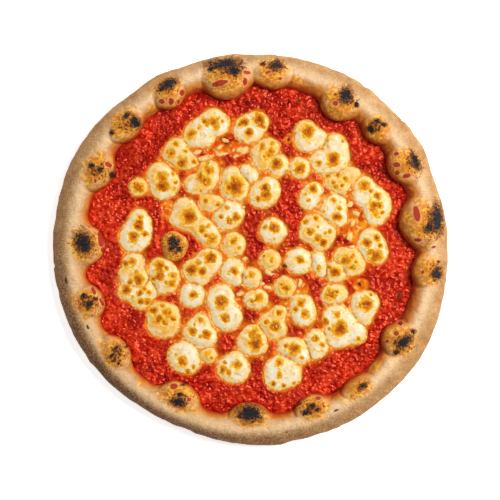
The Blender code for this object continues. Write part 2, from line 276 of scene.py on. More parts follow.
# %% The rings
RING_ANGLES = np.radians(np.arange(0, 360, 0.5))


def smoothed(values, width):
    """A ring of values averaged over its neighbours, by a bell of that many samples."""
    reach = int(3 * width)
    offsets = np.arange(-reach, reach + 1)
    weights = np.exp(-0.5 * (offsets / width) ** 2)
    rolled = [np.roll(values, offset) * weight for offset, weight in zip(offsets, weights)]
    return np.sum(rolled, axis=0) / weights.sum()


def ring_value(table, angle):
    return np.interp(np.mod(angle, 2 * math.pi), RING_ANGLES, table, period=2 * math.pi)


def blister_frames():
    """Each blister's middle, its two directions and half sizes in metres, and its lift."""
    frames = []
    for across, down, along, wide, lift in BLISTERS:
        x, y = plan(across, down)
        length = math.hypot(x, y)
        outward = (x / length, y / length)
        sideways = (-outward[1], outward[0])
        frames.append(((x, y), sideways, outward, along * CELL, wide * CELL, lift / 1000))
    return frames


def toe_table():
    """The toe's radius at each ring angle: round, but pushed in by blisters that lean inwards."""
    toe = np.full(RING_ANGLES.shape, TOE_RADIUS)
    ray_x, ray_y = np.cos(RING_ANGLES), np.sin(RING_ANGLES)
    for (x, y), sideways, outward, along, wide, _ in blister_frames():
        ray_side = (ray_x * sideways[0] + ray_y * sideways[1]) / along
        ray_out = (ray_x * outward[0] + ray_y * outward[1]) / wide
        mid_side = (x * sideways[0] + y * sideways[1]) / along
        mid_out = (x * outward[0] + y * outward[1]) / wide
        square = ray_side**2 + ray_out**2
        half = ray_side * mid_side + ray_out * mid_out
        inside = half**2 - square * (mid_side**2 + mid_out**2 - 1)
        reach = (half - np.sqrt(np.maximum(inside, 0))) / square
        toe = np.where((inside > 0) & (half > 0), np.minimum(toe, reach), toe)
    return smoothed(toe, 3)


outline_degrees, outline_cells = zip(*RIM_OUTLINE)
outline = np.interp(np.degrees(RING_ANGLES), outline_degrees, outline_cells, period=360) * CELL
OUTER = smoothed(outline, 5)
TOE = toe_table()
print("toe from", round(TOE.min() * 1000), "to", round(TOE.max() * 1000), "mm from the middle")

# %% [markdown]
# ## The crust
# A pizza base is a turned shape that hands and heat made uneven. It could be sculpted from a
# torus, but a spun profile keeps the flat underside, the thin floor and the rim in one closed
# skin. So half of the section is drawn point by point with extrude, spun all the way round with
# the spin operator, and then its points are moved: to the uneven rings, and out over each blister.

# %% Draw the section
UNDER_RINGS = (0.12, 0.25, 0.38, 0.5, 0.61, 0.71, 0.8, 0.88, 0.95)
OUTSIDE_STEPS = 22
FLANK_STEPS = 34
TURN_STEPS = 8
SPIN_STEPS = 250
STEP_CUTS = 3
FLANK_CROWDING = 1.6


def crust_section():
    """Radius and height along half of the section, from the underside's middle over the rim."""
    line = [(0, 0), *((BASE_RADIUS * ring, 0) for ring in UNDER_RINGS)]
    for turn in np.linspace(math.pi / 2, 0, TURN_STEPS):
        radius = BASE_RADIUS + (OUTER_RADIUS - BASE_RADIUS) * math.cos(turn)
        line.append((radius, OUTER_LEVEL * (1 - math.sin(turn))))
    crest = FLOOR_TOP + RIM_RISE
    for turn in np.linspace(math.pi / 2, 0, OUTSIDE_STEPS)[1:]:
        radius = CREST_RADIUS + (OUTER_RADIUS - CREST_RADIUS) * math.sin(turn)
        line.append((radius, OUTER_LEVEL + (crest - OUTER_LEVEL) * math.cos(turn)))
    for step in np.linspace(1, 0, FLANK_STEPS)[1:]:
        share = step**FLANK_CROWDING
        radius = TOE_RADIUS + (CREST_RADIUS - TOE_RADIUS) * share
        line.append((radius, FLOOR_TOP + RIM_RISE * (1 - (1 - share) ** 2) ** FLANK_FULLNESS))
    return line + [(TOE_RADIUS * part, FLOOR_TOP) for part in (0.97, 0.5, 0)]


section = crust_section()
deselect_all()
bpy.ops.mesh.primitive_plane_add(size=0.001)
crust = bpy.context.active_object
crust.name = "baked_crust"
bpy.ops.object.mode_set(mode="EDIT")
bpy.ops.mesh.merge(type="CENTER")
for here, there in zip(section, section[1:]):
    step = (there[0] - here[0], 0, there[1] - here[1])
    bpy.ops.mesh.extrude_region_move(TRANSFORM_OT_translate={"value": step})
print("section points:", len(section))

# %% Spin it, then cut each step finer
def select_round_edges(piece):
    """Selects the edges that run round the axis: both ends at one height and one radius."""
    work = bmesh.from_edit_mesh(piece.data)
    for edge in work.edges:
        first, second = (vertex.co for vertex in edge.verts)
        level = abs(first.z - second.z) < 1e-6
        edge.select_set(level and abs(first.xy.length - second.xy.length) < 1e-6)
    bmesh.update_edit_mesh(piece.data)


bpy.ops.mesh.select_all(action="SELECT")
bpy.ops.mesh.spin(steps=SPIN_STEPS, angle=2 * math.pi, center=(0, 0, 0), axis=(0, 0, 1))
bpy.ops.mesh.select_all(action="SELECT")
bpy.ops.mesh.remove_doubles(threshold=0.00002)
bpy.ops.mesh.normals_make_consistent(inside=False)
bpy.ops.mesh.select_mode(type="EDGE")
bpy.ops.mesh.select_all(action="DESELECT")
select_round_edges(crust)
bpy.ops.mesh.subdivide(number_cuts=STEP_CUTS)
bpy.ops.object.mode_set(mode="OBJECT")
print("crust points:", len(crust.data.vertices))

# %% [markdown]
# The spun ring is even. One function moves its radii to the toe, crest and edge rings, and another
# lifts the blisters. The lift points away from the middle of the rim's roll, so a blister swells
# up, out and in over the sauce, as gas under a skin does. A shallow crease runs round each one.

# %% How the dough swells
OUTER_FADE = 1.3
BLISTER_WANDER = 0.14

# In half sizes of a blister, so that its edge is at 1.
CREASE_PLACE, CREASE_WIDTH = 1.04, 0.09
TOAST_LENGTH, TOAST_SHIFT, TOAST_WIDTH = 1.15, 0.30, 0.98
CREASE_LIMIT = 0.0006


def crest_radius(angle):
    return CREST_RADIUS + CREST_DRIFT * np.cos(angle - CREST_DRIFT_ANGLE)


def rim_height(angle):
    """How high the rim is at an angle, as a share of its usual height: three slow waves."""
    waves = ((0.06, 3, 0.6), (0.05, 7, 2.1), (0.03, 13, 0))
    return 1 + sum(size * np.sin(count * angle + start) for size, count, start in waves)


def bend_to_outline(radius, angle):
    toe, crest, outer = ring_value(TOE, angle), crest_radius(angle), ring_value(OUTER, angle)
    inner = radius / TOE_RADIUS * toe
    flank = toe + (radius - TOE_RADIUS) / (CREST_RADIUS - TOE_RADIUS) * (crest - toe)
    beyond = crest + (radius - CREST_RADIUS) / (OUTER_RADIUS - CREST_RADIUS) * (outer - crest)
    return np.where(radius < TOE_RADIUS, inner, np.where(radius < CREST_RADIUS, flank, beyond))


def swelling(x, y, wander):
    """The blisters' lift at points seen from above, the crease round them, and their toast."""
    lift, crease = np.zeros_like(x), np.zeros_like(x)
    toasted = np.full_like(x, -1.0)
    for (middle_x, middle_y), sideways, outward, along, wide, height in blister_frames():
        step_x, step_y = x - middle_x, y - middle_y
        side = (step_x * sideways[0] + step_y * sideways[1]) / along
        out = (step_x * outward[0] + step_y * outward[1]) / wide
        distance = np.hypot(side, out) * (1 + BLISTER_WANDER * wander)
        fade = BLISTER_FULLNESS + OUTER_FADE * ease(out, -0.3, 0.9)
        lift = np.maximum(lift, height * np.maximum(1 - distance**2, 0) ** fade)
        ring = np.exp(-(((distance - CREASE_PLACE) / CREASE_WIDTH) ** 2))
        crease = np.maximum(crease, ring * (1 - ease(out, -0.1, 0.5)))
        from_top = np.hypot(side / TOAST_LENGTH, (out - TOAST_SHIFT) / TOAST_WIDTH)
        toasted = np.maximum(toasted, 1 - from_top)
    return lift, crease * (lift < CREASE_LIMIT), toasted


print("highest blister:", max(lift for *_, lift in BLISTERS), "mm over the rim")

# %% Make it uneven
CREASE = 0.0008
DOUGH_LUMPS = 0.0006
SKIN_WRINKLES = 0.00016
SLIT_DEPTH = 0.0012
# Small tears in the skin: across, down, half length, half width, turn in degrees.
SLITS = (
    (66, 280.5, 1.5, 5.5, 10), (88, 327, 1.7, 4, 20), (288, 432, 6, 1, 2),
    (336, 410, 4.5, 1.4, 25), (53, 266, 1.6, 3, 0), (364.5, 85.5, 6, 0.9, -35),
    (401, 119.5, 5.5, 0.9, -37), (268, 428, 3, 0.7, -5),
)

even = points_of(crust)
even_radius = np.hypot(even[:, 0], even[:, 1])
turn = np.arctan2(even[:, 1], even[:, 0])
radius, height = bend_to_outline(even_radius, turn), even[:, 2].copy()
above = height > FLOOR_TOP + 1e-6
height = np.where(above, FLOOR_TOP + (height - FLOOR_TOP) * rim_height(turn), height)
seen = around(radius, turn, height)
blister, crease, toasted = swelling(seen[:, 0], seen[:, 1], lumps(seen, 0.011, 1))
lift = blister - CREASE * crease
lift += DOUGH_LUMPS * lumps(seen, 0.009, 2) + DOUGH_LUMPS / 2 * lumps(seen, 0.0045, 3)
lift += SKIN_WRINKLES * (lumps(seen, 0.0021, 4) + 0.6 * lumps(seen, 0.0011, 5))
lift -= SLIT_DEPTH * ease(marks(*grid_place(seen), SLITS), 0, 0.6)
lift *= above * np.clip((height - FLOOR_TOP) / (RIM_RISE * 0.4), 0, 1)
away, up = radius - crest_radius(turn), height - RIM_CORE_LEVEL
length = np.hypot(away, up) + 1e-9
radius = np.where(above, np.maximum(radius + lift * away / length, ring_value(TOE, turn)), radius)
height = height + lift * np.maximum(up, 0) / length
set_points(crust, around(radius, turn, height))
crust.data.shade_smooth()
print("rim top:", round(height.max() * 1000, 1), "mm")

# %% [markdown]
# ## Marks of the fire
# A wood oven chars the thin tops of the blisters, leaves freckles round the char, and toasts the
# skin near it to gold. Sauce that spat onto the rim dries as red spots. Each kind of mark is a
# list of ovals on the layout grid, stored on the crust's vertices. The material breaks up their
# edges. Other marks follow the shape: sauce stains the rim's inner foot, with painted shade that
# draws the stain wider on the upper right, a painted highlight runs along the crest, and the
# outside is browner, with painted shade that darkens it most at the lower left. The flat underside
# is marked too.

# %% Lists of marks
# Each mark: across, down, half length, half width, turn in degrees.
CHARS = (
    (169, 84, 9.5, 4.8, 25), (163, 89, 4, 2.5, 30), (136, 123, 5, 6, 20), (127, 116, 5, 2.6, 35),
    (112, 133, 2.6, 2.6, 0), (92, 166, 3, 2.6, 0), (101, 170, 2.8, 2.2, 40),
    (112, 175, 2.6, 3.6, 0), (84, 243, 8, 10.5, 20), (84, 296, 3.2, 2.6, 40),
    (90, 304, 4.2, 3.2, 30), (96, 299, 2, 1.8, 0), (117, 347, 3.4, 1.6, 30),
    (127, 346, 2.6, 1.3, 30), (113, 355, 3.4, 1.5, 45), (119, 363, 1.6, 1.5, 0),
    (178, 402, 7.6, 4.2, -12), (180, 394, 2.2, 1.8, 0), (184, 384, 3, 1.5, 10),
    (250, 413, 11.5, 8, -5), (305, 412, 4, 2.6, 20), (312, 405, 3.4, 2.4, 10),
    (317, 409, 3, 2.2, 20), (362, 386, 5, 2, 35), (404, 341, 8.6, 4.8, 32), (396, 352, 3.4, 2, 20),
    (413, 331, 2.6, 2.4, 0), (436, 274, 5.8, 5.4, 60), (438, 262, 1.6, 1.4, 0),
    (437, 219, 15, 5.6, 92), (428, 228, 5, 4, 30), (415, 161, 9.5, 3.4, 115),
    (371, 130, 4.6, 3.6, -30), (377, 122, 3.4, 2.4, -30), (383, 125, 3, 2.2, -30),
    (345, 96, 8.5, 6, 70), (356, 105, 2.2, 3, 0), (277, 65, 6.5, 4.8, -10), (263, 64, 3, 2, 10),
    (225, 64, 16, 5.4, 4), (234, 71, 6, 5, -20), (211, 69, 4, 2.6, 35),
)
FRECKLED = (
    (168, 88, 12, 8, 20), (129, 124, 15, 11, 35), (99, 171, 14, 11, 60), (84, 243, 14, 16, 10),
    (90, 302, 12, 13, 30), (118, 354, 15, 12, 40), (180, 398, 15, 10, 0), (250, 413, 16, 11, 0),
    (311, 408, 14, 9, 10), (362, 385, 12, 6, 35), (402, 343, 15, 11, 30), (435, 270, 10, 12, 0),
    (432, 222, 12, 21, 0), (412, 164, 10, 14, 20), (376, 126, 12, 8, -35), (347, 99, 14, 11, -30),
    (275, 68, 13, 9, 0), (229, 70, 23, 11, 0),
)
SPLASHES = (
    (182, 93, 2.5, 3.6, -20), (171.5, 102, 3, 4, -10), (162, 102, 3, 2.6, 0),
    (179, 102, 1.5, 2.5, -20), (109, 165, 4, 2.6, -30), (96, 181, 1.6, 2.5, 0),
    (94, 291, 2, 4.4, 25), (102, 302, 1.7, 5, 25), (174, 386, 4, 3.2, 0), (189, 399, 2.5, 2, 0),
    (197, 385, 4, 2.6, 0), (298, 404, 4, 2.4, 20), (396, 333, 3, 2.6, 0), (400, 323, 3, 2.4, 0),
    (387, 341, 2, 2, 0), (422, 272, 1.6, 2.2, 0), (416, 214, 3.4, 9, 10), (417, 240, 4, 2, 0),
    (396, 165, 4, 2.8, 0), (397, 173, 2.5, 2.5, 0), (406, 176, 4, 2.4, 10), (396, 154, 3, 2.2, 0),
    (335, 104, 3, 2.6, 0), (219.5, 84, 8.6, 3.2, 14), (245, 82, 2.4, 4, -10),
    (247, 73, 3.6, 2, -10), (101, 238, 3.2, 10, 4), (103, 250, 2.4, 3, 0), (268, 73, 3.4, 1.8, 25),
    (280, 79, 2, 1.6, 0), (433, 247, 2.4, 1.6, 20), (318, 398, 3, 2, 0),
)
GOLDEN_SPOTS = (
    (143, 383, 7, 4, -35), (296, 80, 8, 5, -15), (152, 108, 9, 6, 35), (428, 246, 8, 7, 0),
    (376, 366, 9, 6, 40),
)
print("marks:", len(CHARS), "chars,", len(SPLASHES), "splashes")

# %% Store the marks on the crust
SHADED_INNER_SIDE, SHADED_SIDE = math.radians(35), math.radians(230)
FULL_PUFF = 0.003
CREST_HIGHLIGHT_DRIFT, CREST_HIGHLIGHT_WIDTH = 0.0005, 0.0052

across, down = grid_place(points_of(crust))
puffed = np.clip(blister / FULL_PUFF, 0, 1)
from_toe, past_crest = radius - ring_value(TOE, turn), radius - crest_radius(turn)
walk = from_toe / (crest_radius(turn) - ring_value(TOE, turn))
# Painted shade: on the upper right the rim's inner flank faces away from the light, so the stain is
# drawn wider and higher there.
shaded_inner_side = 0.5 + 0.5 * np.cos(turn - SHADED_INNER_SIDE)
smeared = 0.0035 + 0.0045 * shaded_inner_side
stained = 0.48 + 0.62 * shaded_inner_side
climb = (1 - puffed) * walk / stained + puffed * from_toe / smeared
# Painted shade: the rim is darkened towards the lower left, the side that faces away from the
# light.
shaded_side = (0.5 + 0.5 * np.cos(turn - SHADED_SIDE)) ** 3
outside = ease(past_crest, 0.0005, 0.0085)
# Painted highlight: a pale band along the crest between the blisters, weaker on the shaded side.
band = np.exp(-(((past_crest - CREST_HIGHLIGHT_DRIFT) / CREST_HIGHLIGHT_WIDTH) ** 2)) * (1 - puffed)
# The flank mark is the browner outside of the rim plus that painted shade, strongest at the lower
# left.
flank = 0.06 * shaded_side + outside * (0.18 + 1.02 * shaded_side)
paint(
    crust,
    char=marks(across, down, CHARS),
    freckles=marks(across, down, FRECKLED),
    toast=np.maximum(np.where(above, toasted, -1), 0.6 * marks(across, down, GOLDEN_SPOTS)),
    splash=marks(across, down, SPLASHES),
    slit=marks(across, down, SLITS),
    stain=1 - np.clip(climb, 0, 1),
    puff=puffed,
    flank=flank,
    band=band * (1 - 0.2 * shaded_side),
    under=1 - ease(height, 0.0008, 0.003),
)
print("charred points:", int((marks(across, down, CHARS) > 0).sum()))

# %% [markdown]
# ## Helpers for the finishes
# A finish is a tree of nodes. Writing each link out would hide what the finish is, so a few
# helpers name what a cook would name: a stored mark, a grain of some size, a blend of two colours.

# %% Start a finish
def new_finish(name):
    material = bpy.data.materials.new(name)
    material.use_nodes = True
    return material


def shader_of(material):
    return material.node_tree.nodes["Principled BSDF"]


def add(material, kind, **settings):
    made = material.node_tree.nodes.new(kind)
    for key, value in settings.items():
        setattr(made, key, value)
    return made


def wire(material, source, socket):
    """Puts a number, a colour or another node's output into a socket."""
    if isinstance(source, bpy.types.NodeSocket):
        material.node_tree.links.new(source, socket)
    elif isinstance(source, tuple):
        socket.default_value = (*source, 1)
    else:
        socket.default_value = source


def mark(material, name):
    return add(material, "ShaderNodeAttribute", attribute_name=name).outputs["Fac"]


print("a finish can be started")


# %% Sums and steps
def maths(material, operation, first, second=0.0):
    step = add(material, "ShaderNodeMath", operation=operation)
    wire(material, first, step.inputs[0])
    wire(material, second, step.inputs[1])
    return step.outputs[0]


def times(material, first, second):
    return maths(material, "MULTIPLY", first, second)


def opposite(material, value):
    """1 where the value is 0, and 0 where it is 1."""
    return maths(material, "SUBTRACT", 1.0, value)


def step_between(material, value, low, high):
    """0 below low, 1 above high, smooth between."""
    fit = add(material, "ShaderNodeMapRange", interpolation_type="SMOOTHSTEP")
    wire(material, value, fit.inputs["Value"])
    fit.inputs["From Min"].default_value = low
    fit.inputs["From Max"].default_value = high
    return fit.outputs["Result"]


print("numbers can be added, multiplied and stepped")


# %% Grain, streaks and dots
def place_of(material):
    return add(material, "ShaderNodeTexCoord").outputs["Object"]


def grain(material, size, detail=3, roughness=0.6, place=None):
    """Random mottling of about that size in metres, from 0 to 1."""
    texture = add(material, "ShaderNodeTexNoise")
    wire(material, place_of(material) if place is None else place, texture.inputs["Vector"])
    texture.inputs["Scale"].default_value = 1 / size
    texture.inputs["Detail"].default_value = detail
    texture.inputs["Roughness"].default_value = roughness
    return texture.outputs["Fac"]


def streaks(material, size, turn):
    """Like grain, but three times as long in one direction, turned by that many degrees."""
    turned = add(material, "ShaderNodeMapping")
    wire(material, place_of(material), turned.inputs["Vector"])
    turned.inputs["Rotation"].default_value = (0, 0, math.radians(turn))
    turned.inputs["Scale"].default_value = (0.33, 1, 1)
    return grain(material, size, roughness=0.5, place=turned.outputs["Vector"])


def dots(material, size, reach):
    """Round dots on scattered places that far apart; reach is each one's size, and 0 is none."""
    texture = add(material, "ShaderNodeTexVoronoi")
    wire(material, place_of(material), texture.inputs["Vector"])
    texture.inputs["Scale"].default_value = 1 / size
    inside = maths(material, "SUBTRACT", reach, texture.outputs["Distance"])
    return step_between(material, inside, 0.0, 0.12)


def ragged(material, value, size, amount):
    """A stored mark with its edge broken up by grain."""
    centred = maths(material, "SUBTRACT", grain(material, size, roughness=0.5), 0.5)
    return maths(material, "ADD", value, times(material, centred, amount))


print("marks can be made ragged")


# %% Blends, layers, ramps and relief
def blend(material, factor, first, second):
    mixed = add(material, "ShaderNodeMix", data_type="RGBA")
    wire(material, factor, mixed.inputs["Factor"])
    wire(material, first, mixed.inputs["A"])
    wire(material, second, mixed.inputs["B"])
    return mixed.outputs["Result"]


def cover(material, below, *layers):
    """Colours painted over what is below. Each layer: where it is, how strong, its colour."""
    for where, strength, colour in layers:
        factor = where if strength == 1 else times(material, where, strength)
        below = blend(material, factor, below, colour)
    return below


def ramp(material, factor, *stops):
    """A run of colours, each stop a position and a colour."""
    made = add(material, "ShaderNodeValToRGB")
    elements = made.color_ramp.elements
    while len(elements) < len(stops):
        elements.new(0.5)
    for element, (position, colour) in zip(elements, stops):
        element.position = position
        element.color = (*colour, 1)
    wire(material, factor, made.inputs["Fac"])
    return made.outputs["Color"]


def bump(material, height, distance, below=None):
    made = add(material, "ShaderNodeBump")
    made.inputs["Distance"].default_value = distance
    wire(material, height, made.inputs["Height"])
    if below is not None:
        wire(material, below, made.inputs["Normal"])
    return made.outputs["Normal"]


print("colours can be laid over each other")

# %% [markdown]
# ## Baked dough
# The skin is pale tan with a fine floury grain, with a painted highlight along the crest, and
# browner outside, where painted shade darkens it most at the lower left. It is stretched taut and
# veined over the blisters, and stained orange where it meets the sauce, the stain widened by
# painted shade on the upper right. It could be one picture of a crust, but layers of colour over
# the stored marks fit this very rim.

# %% The dough's skin
dough = new_finish("baked dough")
floury = ramp(
    dough,
    grain(dough, 0.009, 4, 0.6),
    (0.30, (0.44, 0.208, 0.070)),
    (0.50, (0.60, 0.325, 0.124)),
    (0.70, (0.74, 0.460, 0.215)),
)
mottled = step_between(dough, grain(dough, 0.0042), 0.38, 0.60)
taut = blend(dough, mottled, (0.70, 0.31, 0.115), (0.86, 0.53, 0.29))
ridge = maths(dough, "ABSOLUTE", maths(dough, "SUBTRACT", grain(dough, 0.0050, 3, 0.55), 0.5))
veins = opposite(dough, step_between(dough, ridge, 0.0, 0.035))
specks = step_between(dough, grain(dough, 0.0013, 3, 0.7), 0.42, 0.60)
speckled = maths(dough, "ADD", 0.52, times(dough, specks, 0.46))
# The sauce stain at the rim's foot, widened on the upper right as painted shade.
stain = ragged(dough, mark(dough, "stain"), 0.006, 0.6)
skin = cover(
    dough,
    floury,
    # Painted highlight along the crest.
    (mark(dough, "band"), 0.95, (0.85, 0.61, 0.36)),
    (mark(dough, "puff"), 0.8, taut),
    (times(dough, veins, mark(dough, "puff")), 0.55, (0.46, 0.13, 0.022)),
    (specks, 0.22, (0.40, 0.185, 0.070)),
    # Browner outside of the rim, deepened by painted shade towards the lower left.
    (times(dough, mark(dough, "flank"), speckled), 1, (0.125, 0.050, 0.018)),
    (step_between(dough, stain, 0.02, 0.60), 1, (0.68, 0.24, 0.030)),
    (step_between(dough, stain, 0.46, 0.95), 1, (0.50, 0.055, 0.010)),
)
print("nodes of the skin:", len(dough.node_tree.nodes))

# %% [markdown]
# The fire's marks go over it in the order in which they happen in the oven: gold flecks of toast,
# the brown round the char, blotches and freckles, then dried splashes with a pale ring, small dark
# slits, and the char last. The char is near black, with a few grey streaks of painted sheen.

# %% Toast and freckles
toast = ragged(dough, mark(dough, "toast"), 0.007, 1.2)
golden = ragged(dough, mark(dough, "toast"), 0.004, 1.1)
flecked = step_between(dough, grain(dough, 0.0027), 0.44, 0.58)
toasted_skin = blend(dough, flecked, (0.62, 0.19, 0.012), (0.97, 0.56, 0.062))
baked = ragged(dough, mark(dough, "freckles"), 0.0036, 2.0)
near_char = ragged(dough, mark(dough, "char"), 0.0030, 2.2)
crowd = times(dough, mark(dough, "freckles"), 0.17)
crowded = maths(dough, "ADD", grain(dough, 0.0040), crowd)
thick = ragged(dough, mark(dough, "freckles"), 0.0032, 2.4)
freckles = dots(dough, 0.0021, times(dough, maths(dough, "ADD", thick, 0.30), 0.58))
fine_freckles = dots(dough, 0.0012, times(dough, maths(dough, "ADD", thick, 0.15), 0.55))
skin = cover(
    dough,
    skin,
    (step_between(dough, toast, 0.0, 0.60), 0.9, toasted_skin),
    (step_between(dough, golden, 0.25, 0.8), 0.60, (0.64, 0.20, 0.010)),
    (step_between(dough, baked, 0.15, 0.85), 0.75, (0.42, 0.12, 0.006)),
    (step_between(dough, near_char, -0.60, 0.05), 0.80, (0.25, 0.070, 0.007)),
    (step_between(dough, crowded, 0.64, 0.70), 0.75, (0.17, 0.048, 0.006)),
    (freckles, 0.90, (0.055, 0.016, 0.005)),
    (fine_freckles, 0.75, (0.12, 0.034, 0.006)),
)
print("nodes with toast and freckles:", len(dough.node_tree.nodes))

# %% Splashes, slits and char
spat = ragged(dough, mark(dough, "splash"), 0.003, 0.9)
splash = step_between(dough, spat, 0.0, 0.10)
slit = step_between(dough, ragged(dough, mark(dough, "slit"), 0.002, 0.4), 0.1, 0.5)
# Near black char with grey streaks of painted sheen.
char_with_sheen = ramp(
    dough,
    streaks(dough, 0.0013, 40),
    (0.44, (0.006, 0.005, 0.007)),
    (0.60, (0.014, 0.012, 0.016)),
    (0.76, (0.080, 0.072, 0.084)),
)
coarse = ragged(dough, mark(dough, "char"), 0.0045, 1.0)
skin = cover(
    dough,
    skin,
    (step_between(dough, spat, -0.45, -0.05), 0.45, (0.80, 0.46, 0.20)),
    (splash, 1, (0.43, 0.036, 0.012)),
    (slit, 1, (0.09, 0.035, 0.014)),
    (step_between(dough, ragged(dough, coarse, 0.0013, 2.6), 0.0, 0.30), 1, char_with_sheen),
)
print("nodes with char:", len(dough.node_tree.nodes))

# %% [markdown]
# The underside lay on the hot stone. It is floury, toasted in patches and scorched in the middle
# of them. The whole skin is matt, except where a splash of sauce dried, and has a fine floury
# relief.

# %% The underside and the skin's sheen
patches = grain(dough, 0.017, 3, 0.55)
dusted = step_between(dough, grain(dough, 0.006), 0.4, 0.6)
underside = cover(
    dough,
    blend(dough, dusted, (0.60, 0.36, 0.17), (0.76, 0.58, 0.38)),
    (step_between(dough, patches, 0.50, 0.60), 1, (0.42, 0.19, 0.060)),
    (step_between(dough, patches, 0.58, 0.66), 1, (0.10, 0.038, 0.015)),
)
skin = blend(dough, mark(dough, "under"), skin, underside)
shader = shader_of(dough)
wire(dough, skin, shader.inputs["Base Color"])
dry = maths(dough, "SUBTRACT", 0.72, times(dough, splash, 0.35))
wire(dough, dry, shader.inputs["Roughness"])
shader.inputs["Specular IOR Level"].default_value = 0.25
flour_relief = bump(dough, grain(dough, 0.0013, 4, 0.7), 0.0009)
relief = bump(dough, grain(dough, 0.005, 3, 0.5), 0.0012, flour_relief)
wire(dough, relief, shader.inputs["Normal"])
crust.data.materials.append(dough)
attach(crust, "root")
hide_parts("crust")
print("dough nodes:", len(dough.node_tree.nodes))

# %% [markdown]
# ## A round sheet to start from
# The sauce and each piece of mozzarella are low, wide shapes. A spun disc has long thin faces at
# its edge and tiny ones in the middle. A square grid pressed into a circle has even faces all
# over, so one helper makes that, and another draws its edge down and closes it underneath.

# %% Sheet helpers
def round_sheet(name, cells):
    """A grid pressed into a disc of radius 1, with each point's share of the radius and angle."""
    deselect_all()
    bpy.ops.mesh.primitive_grid_add(x_subdivisions=cells, y_subdivisions=cells, size=2)
    sheet = bpy.context.active_object
    sheet.name = name
    square = points_of(sheet)
    wide = np.abs(square[:, 0]) >= np.abs(square[:, 1])
    share = np.where(wide, square[:, 0], square[:, 1])
    other = np.where(wide, square[:, 1], square[:, 0])
    slant = math.pi / 4 * other / np.where(np.abs(share) < 1e-9, 1, share)
    angle = np.where(wide, slant, math.pi / 2 - slant) + np.where(share < 0, math.pi, 0)
    return sheet, np.abs(share), angle


def close_underneath(piece, foot):
    """Draws the open edge straight down to the foot's height and caps it."""
    bpy.context.view_layer.objects.active = piece
    bpy.ops.object.mode_set(mode="EDIT")
    bpy.ops.mesh.select_all(action="DESELECT")
    bpy.ops.mesh.select_non_manifold(
        extend=False, use_wire=False, use_multi_face=False, use_non_contiguous=False
    )
    bpy.ops.mesh.extrude_region_move(TRANSFORM_OT_translate={"value": (0, 0, -0.001)})
    bpy.ops.transform.resize(value=(1, 1, 0), center_override=(0, 0, foot))
    bpy.ops.mesh.edge_face_add()
    bpy.ops.mesh.select_all(action="SELECT")
    bpy.ops.mesh.normals_make_consistent(inside=False)
    bpy.ops.object.mode_set(mode="OBJECT")
    piece.data.shade_smooth()


print("sheets can be made and closed")

# %% [markdown]
# ## Where the mozzarella lies
# The cheese was torn or cut into pieces that melted into puddles. Each one is a run of rounds that
# flow together, with its browned spots. The same list shapes the cheese, and tells the sauce where
# oil has seeped out.

